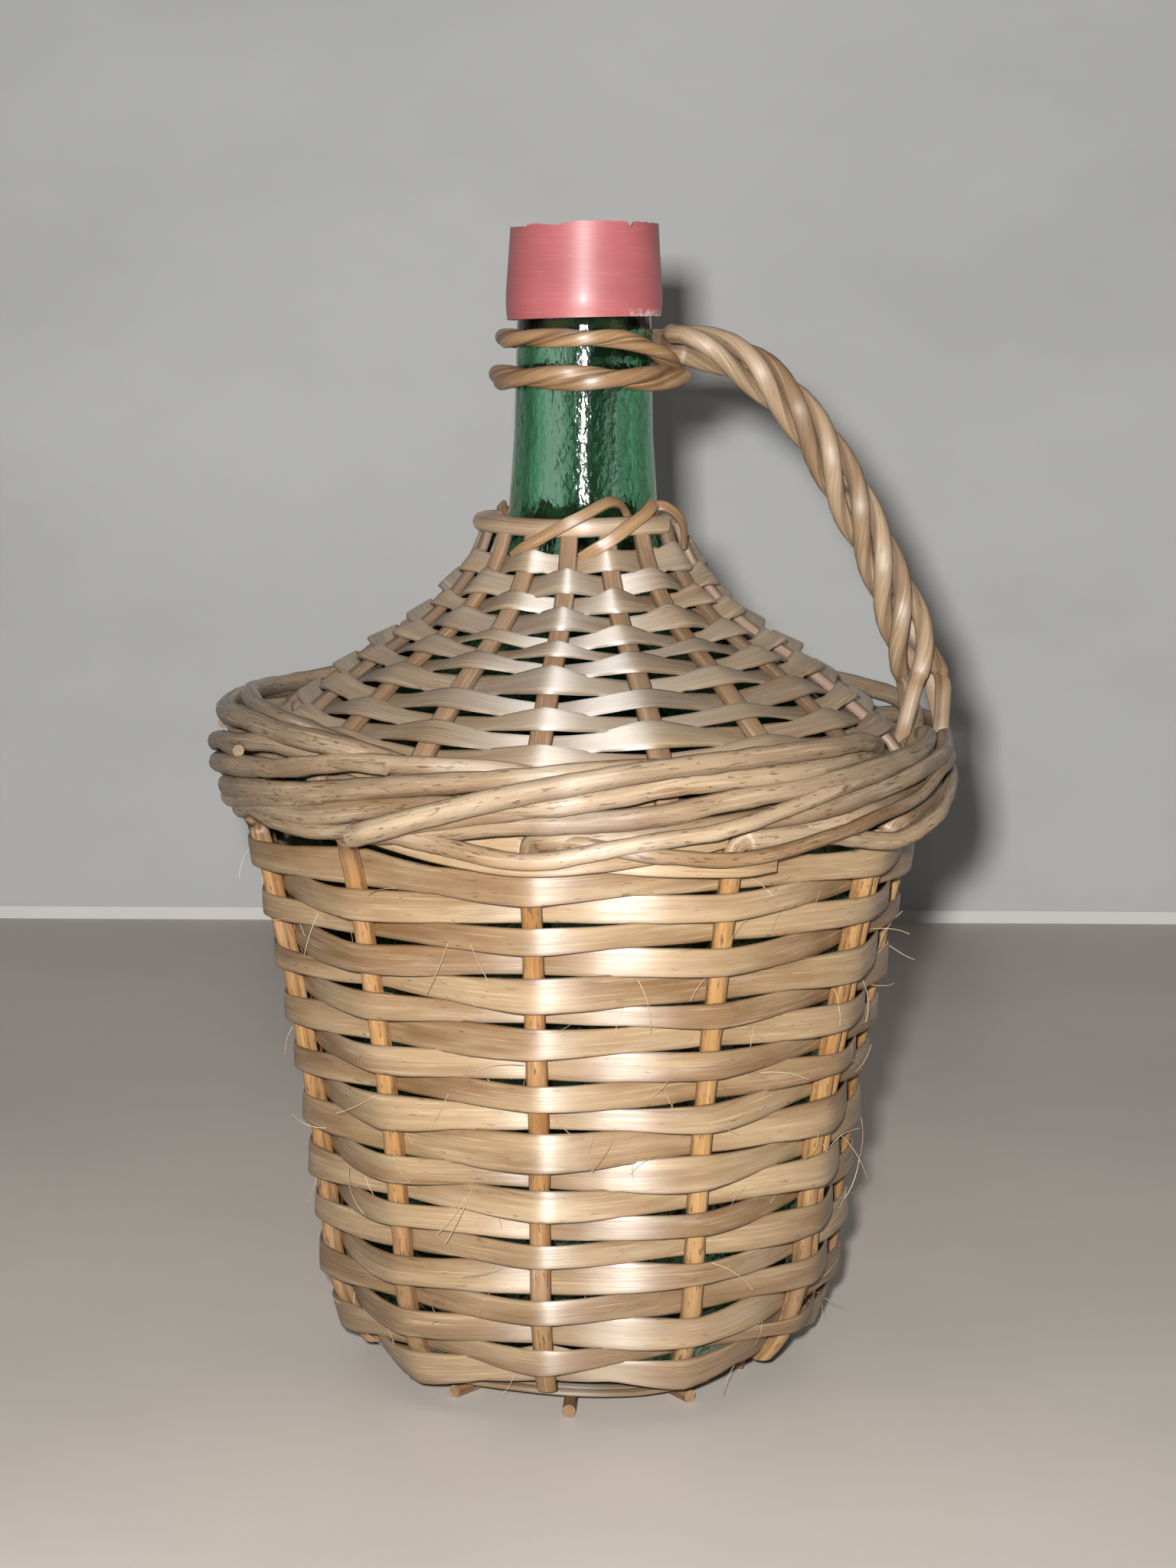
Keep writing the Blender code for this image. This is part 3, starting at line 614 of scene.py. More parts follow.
def strand_tree():
    """Sweeps a round or flat section along each guide line, and lets woven strands swing in and out."""
    tree = ShapeTree(
        "Willow strand",
        [
            ("Flatness", "NodeSocketFloat"),
            ("Corner", "NodeSocketFloat"),
            ("Spread", "NodeSocketFloat"),
            ("Sides", "NodeSocketInt"),
            ("Bend Softness", "NodeSocketFloat"),
            ("Unevenness", "NodeSocketFloat"),
            ("Unevenness Size", "NodeSocketFloat"),
            ("Finish", "NodeSocketMaterial"),
        ],
    )
    given = tree.given

    beat = tree.named("beat")
    whole = tree.math("ROUND", beat)
    aside = tree.math("SUBTRACT", beat, whole)
    soft = given["Bend Softness"]
    soft_square = tree.math("MULTIPLY", soft, soft)
    reach = tree.math("SQRT", tree.math("MULTIPLY_ADD", aside, aside, soft_square))
    fall = tree.math("SUBTRACT", reach, soft)
    full = tree.math("SUBTRACT", tree.math("SQRT", tree.math("ADD", soft_square, 0.25)), soft)
    height = tree.math("SUBTRACT", 1.0, tree.math("DIVIDE", fall, full))
    side = tree.math("COSINE", tree.math("MULTIPLY", whole, math.pi))
    swing = tree.math("MULTIPLY", tree.math("MULTIPLY", height, side), tree.named("room"))
    out = tree.named("out", "FLOAT_VECTOR")
    swung = tree.move(given["Geometry"], tree.scaled(out, swing))

    lines = tree.add("GeometryNodeMeshToCurve", swung).outputs[0]
    facing = {"Curve": lines, "Normal": tree.named("face", "FLOAT_VECTOR")}
    faced = tree.fed("GeometryNodeSetCurveNormal", facing, mode="FREE")

    circle = tree.fed("GeometryNodeCurvePrimitiveCircle", {"Resolution": given["Sides"], "Radius": 1.0})
    place = tree.add("ShaderNodeSeparateXYZ", tree.add("GeometryNodeInputPosition").outputs[0])
    shaped = []
    for axis, power, size in ((0, given["Corner"], given["Flatness"]), (1, given["Spread"], 1.0)):
        value = place.outputs[axis]
        bent = tree.math("POWER", tree.math("ABSOLUTE", value), power)
        shaped.append(tree.math("MULTIPLY", tree.math("MULTIPLY", bent, tree.math("SIGN", value)), size))
    section = tree.add("ShaderNodeCombineXYZ", *shaped).outputs[0]
    profile = tree.fed("GeometryNodeSetPosition", {"Geometry": circle.outputs["Curve"], "Position": section})
    ringed = tree.store(profile.outputs[0], "ring", section, "FLOAT_VECTOR")

    tangent = tree.add("GeometryNodeInputTangent").outputs[0]
    combed = tree.store(faced.outputs[0], "lay", tangent, "FLOAT_VECTOR")
    half = tree.named("half")
    sweep = {"Curve": combed, "Profile Curve": ringed, "Scale": half, "Fill Caps": True}
    swept = tree.fed("GeometryNodeCurveToMesh", sweep)

    ring = tree.add("ShaderNodeSeparateXYZ", tree.named("ring", "FLOAT_VECTOR"))
    depth = tree.math("MULTIPLY", ring.outputs[0], half)
    across = tree.math("MULTIPLY", ring.outputs[1], half)
    fibre = tree.add("ShaderNodeCombineXYZ", tree.named("run"), depth, across).outputs[0]
    marked = tree.store(swept.outputs[0], "fibre", fibre, "FLOAT_VECTOR")
    marked = tree.store(marked, "edge", tree.math("ABSOLUTE", ring.outputs[1]))

    along = tree.add("ShaderNodeCombineXYZ", tree.named("tone"), 0.0, 0.0).outputs[0]
    size = tree.add("ShaderNodeCombineXYZ", *[given["Unevenness Size"]] * 3).outputs[0]
    spread = tree.vector("ADD", tree.vector("DIVIDE", fibre, size), tree.scaled(along, TONE_SHIFT))
    lumps = tree.fed("ShaderNodeTexNoise", {"Vector": spread, "Scale": 1.0}, noise_dimensions="3D")
    lift = tree.math("MULTIPLY", tree.math("SUBTRACT", lumps.outputs[0], 0.5), given["Unevenness"])
    normal = tree.add("GeometryNodeInputNormal").outputs[0]
    tree.close(tree.move(marked, tree.scaled(normal, lift)), given["Finish"])
    return tree.tree


def whisker_tree():
    """Loose bark fibres that stand off the weave, scattered with a fixed seed."""
    tree = ShapeTree(
        "Loose fibres",
        [
            ("Fibre Count Density", "NodeSocketFloat"),
            ("Fibre Length", "NodeSocketFloat"),
            ("Fibre Radius", "NodeSocketFloat"),
            ("Seed", "NodeSocketInt"),
            ("Finish", "NodeSocketMaterial"),
        ],
    )
    given = tree.given
    seed = given["Seed"]
    spots = {"Mesh": given["Geometry"], "Density": given["Fibre Count Density"], "Seed": seed}
    scattered = tree.fed("GeometryNodeDistributePointsOnFaces", spots, distribute_method="RANDOM")

    knots = dict(zip(("Start", "Middle", "End"), FIBRE_BOW))
    bow = tree.fed("GeometryNodeCurveQuadraticBezier", {"Resolution": 5, **knots}).outputs[0]
    radius = tree.math("DIVIDE", given["Fibre Radius"], given["Fibre Length"])
    thin = tree.fed("GeometryNodeCurvePrimitiveCircle", {"Resolution": 3, "Radius": radius}).outputs["Curve"]
    hair = tree.fed("GeometryNodeCurveToMesh", {"Curve": bow, "Profile Curve": thin, "Fill Caps": True})

    turn = tree.fed("FunctionNodeRandomValue", {"Seed": seed}, data_type="FLOAT_VECTOR")
    size = tree.fed("FunctionNodeRandomValue", {"Seed": seed}, data_type="FLOAT")
    for socket, value in zip([*turn.inputs[:2], *size.inputs[2:4]], [*FIBRE_TURNS, LEAST_FIBRE, 1.0]):
        socket.default_value = value
    own_turn = tree.add("FunctionNodeEulerToRotation", turn.outputs[0]).outputs[0]
    leaning = scattered.outputs["Rotation"]
    spun = tree.add("FunctionNodeRotateRotation", leaning, own_turn, rotation_space="LOCAL")
    placed = tree.fed(
        "GeometryNodeInstanceOnPoints",
        {
            "Points": scattered.outputs["Points"],
            "Instance": hair.outputs[0],
            "Rotation": spun.outputs[0],
            "Scale": tree.math("MULTIPLY", size.outputs[1], given["Fibre Length"]),
        },
    )
    tree.close(placed.outputs[0], given["Finish"])
    return tree.tree


def grown(name, mesh, tree, **inputs):
    """The tree's result on a mesh, as a plain object. The inputs are named with underscores for spaces."""
    piece = bpy.data.objects.new(name, mesh)
    bpy.context.scene.collection.objects.link(piece)
    growth = piece.modifiers.new("Growth", "NODES")
    growth.node_group = tree
    for item in tree.interface.items_tree:
        label = item.name.replace(" ", "_").lower()
        if item.in_out == "INPUT" and label in inputs:
            growth[item.identifier] = inputs[label]
    seen = piece.evaluated_get(bpy.context.evaluated_depsgraph_get())
    plain = bpy.data.meshes.new_from_object(seen)
    piece.modifiers.clear()
    piece.data = plain
    plain.name = name
    bpy.data.meshes.remove(mesh)
    if not plain.polygons:
        raise RuntimeError(f"{name} has no faces")
    return piece


# Lines in the plane of radius and height


class Meridian:
    """A line in the plane of radius and height, looked up by the distance along it."""

    def __init__(self, points):
        self.points = [Vector(point) for point in points]
        self.marks = [0.0]
        for first, second in zip(self.points, self.points[1:]):
            self.marks.append(self.marks[-1] + (second - first).length)
        self.length = self.marks[-1]
        self.table = np.array([[point.x, point.y] for point in self.points])

    def on_line(self, distance):
        return Vector([np.interp(distance, self.marks, column) for column in self.table.T])

    def at(self, distance):
        """The place at this distance. Past an end, the line runs straight on."""
        kept = min(max(distance, 0.0), self.length)
        return self.on_line(kept) + self.along(kept) * (distance - kept)

    def along(self, distance):
        low = max(min(distance, self.length) - NORMAL_REACH, 0.0)
        high = min(max(distance, 0.0) + NORMAL_REACH, self.length)
        return (self.on_line(high) - self.on_line(low)).normalized()

    def normal(self, distance):
        along = self.along(distance)
        return Vector((along.y, -along.x))

    def distance_at_height(self, height):
        """How far along the line first reaches a height."""
        for index, (first, second) in enumerate(zip(self.points, self.points[1:])):
            if first.y <= height <= second.y:
                share = (height - first.y) / (second.y - first.y)
                return self.marks[index] + share * (second - first).length
        return self.length


def smooth_line(points, steps):
    """A Catmull-Rom curve through the points, with this many runs for each span."""
    knots = [Vector(point) for point in points]
    padded = [2 * knots[0] - knots[1], *knots, 2 * knots[-1] - knots[-2]]
    line = [knots[0]]
    for before, start, end, after in zip(padded, padded[1:], padded[2:], padded[3:]):
        for step in range(1, steps + 1):
            t = step / steps
            line.append(
                0.5
                * (
                    2 * start
                    + (end - before) * t
                    + (2 * before - 5 * start + 4 * end - after) * t**2
                    + (3 * start - before - 3 * end + after) * t**3
                )
            )
    return line


def around(radius, angle, height):
    return Vector((radius * math.cos(angle), radius * math.sin(angle), height))


def around_deg(degrees, radius, height):
    return around(radius, math.radians(degrees), height)


def between(first, last, share):
    return first + (last - first) * share


def held(share):
    """The share, held between none and all."""
    return min(max(share, 0.0), 1.0)


def dimmed(colour, share):
    return tuple(value * share for value in colour)


def heel_line(steps=18):
    """The round heel, from the foot to the waist."""
    line = []
    for step in range(steps + 1):
        turn = math.radians(90.0 * step / steps)
        radius = between(FOOT_RADIUS, WAIST_RADIUS, math.sin(turn))
        line.append((radius, between(BOTTLE_FOOT, WAIST_HEIGHT, 1.0 - math.cos(turn))))
    return line


def flare_line():
    """The side, which flares from the waist towards the shoulder."""
    line = []
    for share in FLARE_SHARES:
        radius = between(WAIST_RADIUS, SHOULDER_RADIUS, share**FLARE_POWER)
        line.append((radius, between(WAIST_HEIGHT, SHOULDER_HEIGHT, share)))
    return line


def shoulder_line():
    """The cone, from the shoulder to the foot of the neck."""
    line = [(SHOULDER_RADIUS, SHOULDER_HEIGHT)]
    for share_in, share_up in SHOULDER_SHAPE:
        radius = between(SHOULDER_RADIUS, NECK_FOOT_RADIUS, share_in)
        line.append((radius, between(SHOULDER_HEIGHT, NECK_FOOT_HEIGHT, share_up)))
    line.append((NECK_FOOT_RADIUS, NECK_FOOT_HEIGHT))
    return line


def upper_line(steps):
    """The glass from over the waist to the foot of the neck, with this many runs for each span."""
    return smooth_line([*flare_line(), *shoulder_line()], steps)


def weave_swing(radius, count, rod_radius, thickness, halves):
    """How far a skein's middle swings from the rods' line, so that its straight runs clear the rods.

    A run takes a spacing of the rods, divided by halves.
    """
    clear = rod_radius + WEAVE_GAP + thickness / 2
    run = 2.0 * math.pi * radius / count / halves
    swing = clear
    for _ in range(SWING_ROUNDS):
        drop = 2.0 * swing / halves + run**2 / (2.0 * radius)
        swing = clear * math.hypot(run, drop) / run
    return swing


def rod_meridian(glass_line, count, rod_radii, thickness, halves):
    """The line that the rods' centres follow: the glass, plus room for a skein to pass inside them."""
    glass = Meridian(glass_line)
    points = []
    for mark in glass.marks:
        point = glass.at(mark)
        rod_radius = rod_radii[0] + (rod_radii[1] - rod_radii[0]) * mark / glass.length
        swing = weave_swing(point.x, count, rod_radius, thickness, halves)
        points.append(point + glass.normal(mark) * (WEAVE_GAP + thickness / 2 + swing))
    return Meridian(points)


def up_line(line, start, end, runs):
    """Places along the line from start to end, this many runs apart."""
    return [line.at(start + (end - start) * step / runs) for step in range(runs + 1)]


def side_line():
    glass = [*heel_line(), *upper_line(9)]
    return rod_meridian(glass, STAKE_COUNT, (STAKE_RADIUS, STAKE_RADIUS), SKEIN_THICKNESS, SIDE_HALVES)


def side_start(line):
    """The lowest place where a skein outside the stakes still clears the spokes."""
    distance = 0.0
    while distance < line.length:
        swing = 2.0 * STAKE_RADIUS + SKEIN_THICKNESS
        outer = line.at(distance) + line.normal(distance) * swing
        if min(outer.y, line.at(distance).y - STAKE_RADIUS) > SPOKE_SIZE + FIT_GAP:
            return distance
        distance += SEARCH_STEP
    return 0.0


def cone_line():
    close = Meridian(upper_line(9))
    glass = []
    for mark in close.marks:
        lift = CONE_LIFT * min(mark / CONE_LIFT_RUN, 1.0)
        glass.append(close.at(mark) + close.normal(mark) * lift)
    return rod_meridian(glass, RIB_COUNT, (RIB_RADIUS, RIB_TIP_RADIUS), CONE_SKEIN_THICKNESS, CONE_HALVES)


def weave_room():
    """From the glass to the stakes' centres, at the shoulder."""
    swing = weave_swing(SHOULDER_RADIUS, STAKE_COUNT, STAKE_RADIUS, SKEIN_THICKNESS, SIDE_HALVES)
    return WEAVE_GAP + SKEIN_THICKNESS / 2 + swing


def border_place(age):
    """Radius and height of a border rod, age stake spacings after it bends out of the side."""
    rise = 2.0 * BORDER_ROD_RADIUS + WEAVE_GAP
    radius = SHOULDER_RADIUS + weave_room() + BORDER_ROOT_OUT
    height = BORDER_ROOT_HEIGHT
    left = age
    while left > 0.0:
        step = min(left, BORDER_STEP)
        past = max(age - left + step / 2 - 1.0, 0.0)
        lean = math.radians(BORDER_LEAN_DEG - BORDER_CURL_DEG * past)
        radius += step * rise * math.sin(lean)
        height += step * rise * math.cos(lean)
        left -= step
    return radius, height


# Willow strands


def drift(place, seed):
    """Smooth chance variation between about -1 and 1, the same each run."""
    return 2.0 * noise.noise(Vector((place, seed * 7.31, seed * 1.7)))


def greyness_at(point):
    """How grey the willow is: greyest high on the rim away from its front, and on the shoulder, and greyer
    and darker towards the foot.
    """
    high = held((point.z - RIM_GREY_FROM) / RIM_GREY_RUN)
    # The rim's front is kept paler and less grey than its sides and back.
    facing = 0.5 - 0.5 * point.y / max(math.hypot(point.x, point.y), 0.001)
    rim = (0.06 + 0.94 * high) * (0.95 - 0.75 * facing**6)
    cone = CONE_GREY * held((point.z - CONE_GREY_FROM) / CONE_GREY_RUN)
    foot = FOOT_GREYING * held((FOOT_GREYING_FROM - point.z) / FOOT_GREYING_RUN)
    return max(rim, cone, foot)


class Strand:
    """One willow strand: its points, the way its face looks and its half width at each, and its tone.

    A woven strand also has, at each point, the count of rods passed, and how far it swings and which way.
    """

    def __init__(self, points, faces, halves, tone, beats=None, rooms=None, outs=None):
        self.points = points
        self.faces = faces
        self.halves = halves
        self.tone = tone
        self.beats = beats or [0.0] * len(points)
        self.rooms = rooms or [0.0] * len(points)
        self.outs = outs or faces

    def runs(self):
        """The distance from the strand's start, at each point."""
        run = 0.0
        runs = [0.0]
        for first, second in zip(self.points, self.points[1:]):
            run += (second - first).length
            runs.append(run)
        return runs


def woven(name, strands, finish, flat=None, sides=12, soft=0.05, uneven=0.0, uneven_size=0.006):
    """Turns guide strands into willow. A flat strand gives its thickness as a share of its half width."""
    corners = []
    edges = []
    values = {label: [] for label in ("half", "beat", "room", "run", "tone", "greyness")}
    outs = []
    faces = []
    for strand in strands:
        first = len(corners)
        count = len(strand.points)
        corners.extend(strand.points)
        edges.extend((first + index, first + index + 1) for index in range(count - 1))
        outs.extend(component for out in strand.outs for component in out)
        faces.extend(component for face in strand.faces for component in face)
        values["half"].extend(strand.halves)
        values["beat"].extend(strand.beats)
        values["room"].extend(strand.rooms)
        values["run"].extend(strand.runs())
        values["tone"].extend([strand.tone] * count)
        values["greyness"].extend(greyness_at(point) for point in strand.points)
    mesh = bpy.data.meshes.new(f"{name}_guide")
    mesh.from_pydata(corners, edges, [])
    for label, numbers in values.items():
        mesh.attributes.new(label, "FLOAT", "POINT").data.foreach_set("value", numbers)
    mesh.attributes.new("out", "FLOAT_VECTOR", "POINT").data.foreach_set("vector", outs)
    mesh.attributes.new("face", "FLOAT_VECTOR", "POINT").data.foreach_set("vector", faces)
    return grown(
        name,
        mesh,
        bpy.data.node_groups.get("Willow strand") or strand_tree(),
        flatness=1.0 if flat is None else flat,
        corner=1.0 if flat is None else FLAT_CORNER,
        spread=1.0 if flat is None else FLAT_SPREAD,
        sides=sides,
        bend_softness=soft,
        unevenness=uneven,
        unevenness_size=uneven_size,
        finish=finish,
    )


def radial_outs(points):
    return [Vector((point.x, point.y, 0.0)).normalized() for point in points]


def rod(points, half, tone):
    """A strand of one thickness."""
    return Strand(points, radial_outs(points), [half] * len(points), tone)


def laid(rows, steps, tone):
    """A strand through rows of degrees round, radius, height and half width."""
    path = smooth_line([around_deg(*row[:3]) for row in rows], steps)
    marks = np.linspace(0.0, len(rows) - 1.0, len(path))
    widths = np.interp(marks, range(len(rows)), [row[3] for row in rows])
    return Strand(path, radial_outs(path), widths.tolist(), tone)


def wandering(points, amount, size, seed):
    """The points, each moved a little, as a rod that isn't quite straight."""
    moved = []
    run = 0.0
    last = points[0]
    for point in points:
        run += (point - last).length
        last = point
        shift = Vector((drift(run / size, seed), drift(run / size, seed + 11), drift(run / size, seed + 23)))
        moved.append(point + shift * amount)
    return moved


class Weave:
    """How skeins wind up a line in and out of its rods."""

    def __init__(self, line, start, end, rows, count, first_angle, rod_radii, thickness, halves):
        self.line = line
        self.start = start
        self.rows = rows
        self.count = count
        self.first_angle = first_angle
        self.rod_radii = rod_radii
        self.thickness = thickness
        self.halves = halves
        self.pitch = (end - start) / rows

    def room(self, distance):
        share = distance / self.line.length
        rod_radius = between(*self.rod_radii, share)
        return weave_swing(self.line.at(distance).x, self.count, rod_radius, self.thickness, self.halves)


def wave_strands(weave, look, step, inner, outer, tightness, seed, broad_foot=0.0):
    """The skeins of a weave, each laid in where the last one ends.

    Neighbours meet edge to edge midway between two rods. Each is broader by the share inner where it runs
    inside a rod, and by the share outer where it runs outside one. Rows near the foot are broader still, by
    the share broad_foot.
    """
    chance = random.Random(seed)
    count = weave.count
    strands = []

    def edge(turn):
        slow = drift(turn * 2.6, seed) * look.wander
        return weave.start + weave.pitch * turn + slow + drift(turn * 11.0, seed + 5) * look.wander * 0.6

    lap = math.radians(SKEIN_LEAN_DEG)
    crossing = 0
    last_crossing = (weave.rows - 1) * count
    while crossing < last_crossing:
        length = chance.randint(count, int(count * LONGEST_SKEIN)) | 1
        stop = min(crossing + length + (crossing % 2), last_crossing)
        fullness = chance.uniform(*SKEIN_FULLNESS)
        points = []
        faces = []
        outs = []
        widths = []
        beats = []
        rooms = []
        radius = weave.line.at(weave.start + weave.pitch * (crossing / count + 0.5)).x
        sections = max(6, round(2.0 * math.pi * radius / count / step))
        for index in range((stop - crossing) * sections + 1):
            beat = crossing + index / sections
            turn = beat / count
            low = edge(turn)
            high = edge(turn + 1.0)
            middle = (low + high) / 2
            angle = weave.first_angle + 2.0 * math.pi * turn
            place = weave.line.at(middle)
            normal = weave.line.normal(middle)
            along = weave.line.along(middle)
            face = normal * math.cos(lap) + along * math.sin(lap)
            points.append(around(place.x, angle, place.y))
            outs.append(around(normal.x, angle, normal.y))
            faces.append(around(face.x, angle, face.y))
            foot = 1.0 + broad_foot * max(0.0, 1.0 - turn / FOOT_ROWS)
            nearest = round(beat)
            height = (1.0 - 2.0 * abs(beat - nearest)) * (1.0 if nearest % 2 == 0 else -1.0)
            gain = (outer if height > 0.0 else inner) + (fullness - 1.0) + (foot - 1.0)
            ruffle = drift(beat * 1.9, seed + 31) * look.ruffle
            widths.append((high - low) * (SKEIN_OVERLAP + gain * abs(height) ** 0.8) / 2 + ruffle)
            beats.append(beat)
            rooms.append(weave.room(middle) * tightness)
        strands.append(Strand(points, faces, widths, chance.random(), beats, rooms, outs))
        crossing = stop
    return strands


# Materials


class Finish(Tree):
    """A Principled material and short ways to build its pattern."""

    def __init__(self, name, roughness=0.5, **fixed):
        self.material = bpy.data.materials.new(name)
        self.material.use_nodes = True
        super().__init__(self.material.node_tree)
        self.shader = self.tree.nodes["Principled BSDF"]
        self.shader.inputs["Roughness"].default_value = roughness
        for label, value in fixed.items():
            self.shader.inputs[label.replace("_", " ")].default_value = value

    def attribute(self, label, output="Fac"):
        return self.add("ShaderNodeAttribute", attribute_name=label).outputs[output]

    def place(self):
        return self.add("ShaderNodeTexCoord").outputs["Object"]

    def shifted(self, vector, amount):
        """The vector moved by an amount, so that each strand has a pattern of its own."""
        whole = self.add("ShaderNodeCombineXYZ", amount, amount, amount).outputs[0]
        return self.vector("ADD", vector, whole)

    def noise(self, vector, detail=2.0, roughness=0.5, scale=1.0):
        given = {"Vector": vector, "Scale": scale, "Detail": detail, "Roughness": roughness}
        return self.fed("ShaderNodeTexNoise", given).outputs["Fac"]

    def grain(self, vector, per_metre, detail=2.0, roughness=0.5):
        """Noise with this many patches to the metre along each axis."""
        return self.noise(self.vector("MULTIPLY", vector, per_metre), detail, roughness)

    def ranged(self, value, low, high, to_low=0.0, to_high=1.0):
        """The value, with low to high stretched to the given ends and held there."""
        return self.add("ShaderNodeMapRange", value, low, high, to_low, to_high).outputs[0]

    def mix(self, amount, first, second, blend="MIX"):
        node = self.add("ShaderNodeMix", data_type="RGBA", blend_type=blend)
        self.put(node.inputs["Factor"], amount)
        for label, value in (("A", first), ("B", second)):
            socket = next(s for s in node.inputs if s.name == label and s.type == "RGBA")
            self.put(socket, (*value, 1.0) if isinstance(value, tuple) else value)
        return next(s for s in node.outputs if s.type == "RGBA")

    def colour(self, value):
        self.put(self.shader.inputs["Base Color"], value)

    def relief(self, height, distance, strength):
        node = self.fed("ShaderNodeBump", {"Strength": strength, "Distance": distance, "Height": height})
        self.put(self.shader.inputs["Normal"], node.outputs[0])


def willow(name, colours, depth=0.00008, rim=None, ior=1.6, comb=0.85):
    """Willow along its own fibres: satin, streaks with a painted shine, brown and grey stretches, pale
    patches of dust and painted sheen, dark pores and darker edges.

    The colours are light, dark and grey, and rim is the light and dark above the sides. Depth is the relief
    of the streaks, and comb the share of the shine that lies across the fibres.
    """
    light, dark, grey = (tuple(colour) for colour in colours)
    greying, flecks, roughness, satin = WILLOW_LOOKS[name]
    finish = Finish(
        name, roughness, IOR=ior, Specular_IOR_Level=satin, Anisotropic=comb, Anisotropic_Rotation=0.25
    )
    finish.put(finish.shader.inputs["Tangent"], finish.attribute("lay", "Vector"))
    fibre = finish.attribute("fibre", "Vector")
    tone = finish.attribute("tone")
    own = finish.shifted(fibre, finish.math("MULTIPLY", tone, 3.0))
    streaks = finish.grain(own, (45.0, 1500.0, 1500.0), 4.0, 0.62)
    broad = finish.grain(own, (16.0, 90.0, 90.0), 3.0, 0.55)
    patches = finish.grain(own, (26.0, 160.0, 160.0))
    pores = finish.grain(own, (260.0, 1500.0, 1500.0))
    browning = finish.math("ADD", finish.ranged(broad, 0.40, 0.62), finish.math("MULTIPLY", tone, 0.75))
    brown = finish.ranged(browning, 0.2, 1.5)
    base = finish.mix(brown, light, dark)
    if rim:
        upper = finish.mix(brown, tuple(rim[0]), tuple(rim[1]))
        place = finish.add("ShaderNodeSeparateXYZ", finish.place())
        base = finish.mix(finish.ranged(place.outputs["Z"], *RIM_COLOUR_HEIGHTS), base, upper)
    greyness = finish.math("MULTIPLY", finish.attribute("greyness"), greying)
    greyed = finish.math("MULTIPLY", greyness, finish.ranged(patches, 0.30, 0.62, 0.35, 1.0))
    base = finish.mix(greyed, base, grey)
    base = finish.mix(finish.ranged(streaks, 0.30, 0.70, 0.0, 0.34), base, STREAK_BROWN, "MULTIPLY")
    # Pale streaks of painted shine along the grain.
    base = finish.mix(finish.ranged(streaks, 0.42, 0.28, 0.0, 0.28), base, SHINE_PALE)
    few = RIM_PORES if rim else PORES
    base = finish.mix(finish.ranged(pores, few, few + 0.08, 0.0, flecks), base, PORE_BROWN)
    splits = finish.grain(own, (9.0, 640.0, 640.0), 2.0, 0.45)
    split = finish.math("ABSOLUTE", finish.math("SUBTRACT", splits, 0.56))
    crack = finish.ranged(split, 0.004, 0.012, 0.55, 0.0)
    base = finish.mix(finish.math("MULTIPLY", crack, finish.ranged(broad, 0.46, 0.56)), base, CRACK_BROWN)
    knots = finish.grain(own, (140.0, 260.0, 260.0), 3.0, 0.6)
    base = finish.mix(finish.ranged(knots, 0.70, 0.78, 0.0, flecks), base, KNOT_BROWN)
    # Pale patches, partly dust and partly painted sheen.
    dust_and_sheen = finish.grain(own, (34.0, 210.0, 210.0), 4.0, 0.7)
    base = finish.mix(finish.ranged(dust_and_sheen, 0.56, 0.74, 0.0, 0.32), base, DUST_AND_SHEEN_PALE)
    edge = finish.ranged(finish.attribute("edge"), 0.90, 1.0, 0.0, 0.55)
    finish.colour(finish.mix(edge, base, EDGE_BROWN, "MULTIPLY"))
    rough = finish.ranged(streaks, 0.3, 0.7, roughness - 0.07, roughness + 0.10)
    finish.put(finish.shader.inputs["Roughness"], rough)
    finish.relief(finish.math("ADD", streaks, finish.math("MULTIPLY", broad, 0.8)), depth, 0.9)
    return finish.material


def glass_finish(look):
    """Cheap green bottle glass, with dimples and upright streaks from its mould, and upright stretches of
    painted light and painted shade in its colour.
    """
    finish = Finish("bottle_glass", GLASS_ROUGHNESS, Transmission_Weight=1.0, IOR=1.5)
    place = finish.place()
    per = 1.0 / look.ripple_size
    dimples = finish.grain(place, (per, per, per * 0.45), 3.0, 0.55)
    fine = finish.grain(place, (per * 3.2, per * 3.2, per * 2.2))
    upright = finish.grain(place, (per * 0.8, per * 0.8, per * 0.05))
    coarse = finish.math("MULTIPLY", dimples, DIMPLES)
    height = finish.math("ADD", coarse, finish.math("MULTIPLY", fine, FINE_DIMPLES))
    height = finish.math("ADD", height, finish.math("MULTIPLY", upright, MOULD_STREAKS))
    finish.relief(height, look.ripple, 1.0)
    tint = tuple(look.tint)
    streaked = finish.mix(finish.ranged(upright, 0.35, 0.65), tint, dimmed(tint, 0.88))
    axes = finish.add("ShaderNodeSeparateXYZ", place)
    turn = finish.math("ARCTAN2", axes.outputs["Y"], axes.outputs["X"])
    ragged = finish.grain(place, (420.0, 420.0, 110.0), 4.0, 0.65)
    ragged = finish.math("MULTIPLY", finish.math("SUBTRACT", ragged, 0.5), 0.55)

    def within(stretches):
        """One inside the upright stretches, with ragged edges."""
        share = 0.0
        for degrees, half_width in stretches:
            off = finish.math("WRAP", finish.math("SUBTRACT", turn, math.radians(degrees)), math.pi, -math.pi)
            off = finish.math("ADD", finish.math("ABSOLUTE", off), ragged)
            reach = math.radians(half_width)
            share = finish.math("MAXIMUM", share, finish.ranged(off, reach + EDGE_BLUR, reach - EDGE_BLUR))
        return share

    band = tuple(look.band_tint)
    # Painted shade darkens the dark stretches, and painted light makes the pale stretches nearly clear.
    painted_shade_banded = finish.mix(within(PAINTED_SHADE_STRETCHES), band, dimmed(band, 0.55))
    finish.colour(finish.mix(within(PAINTED_LIGHT_STRETCHES), painted_shade_banded, streaked))
    depth = {"Color": (*look.depth_tint, 1.0), "Density": look.depth}
    inside = finish.fed("ShaderNodeVolumeAbsorption", depth)
    finish.put(finish.tree.nodes["Material Output"].inputs["Volume"], inside.outputs[0])
    return finish.material


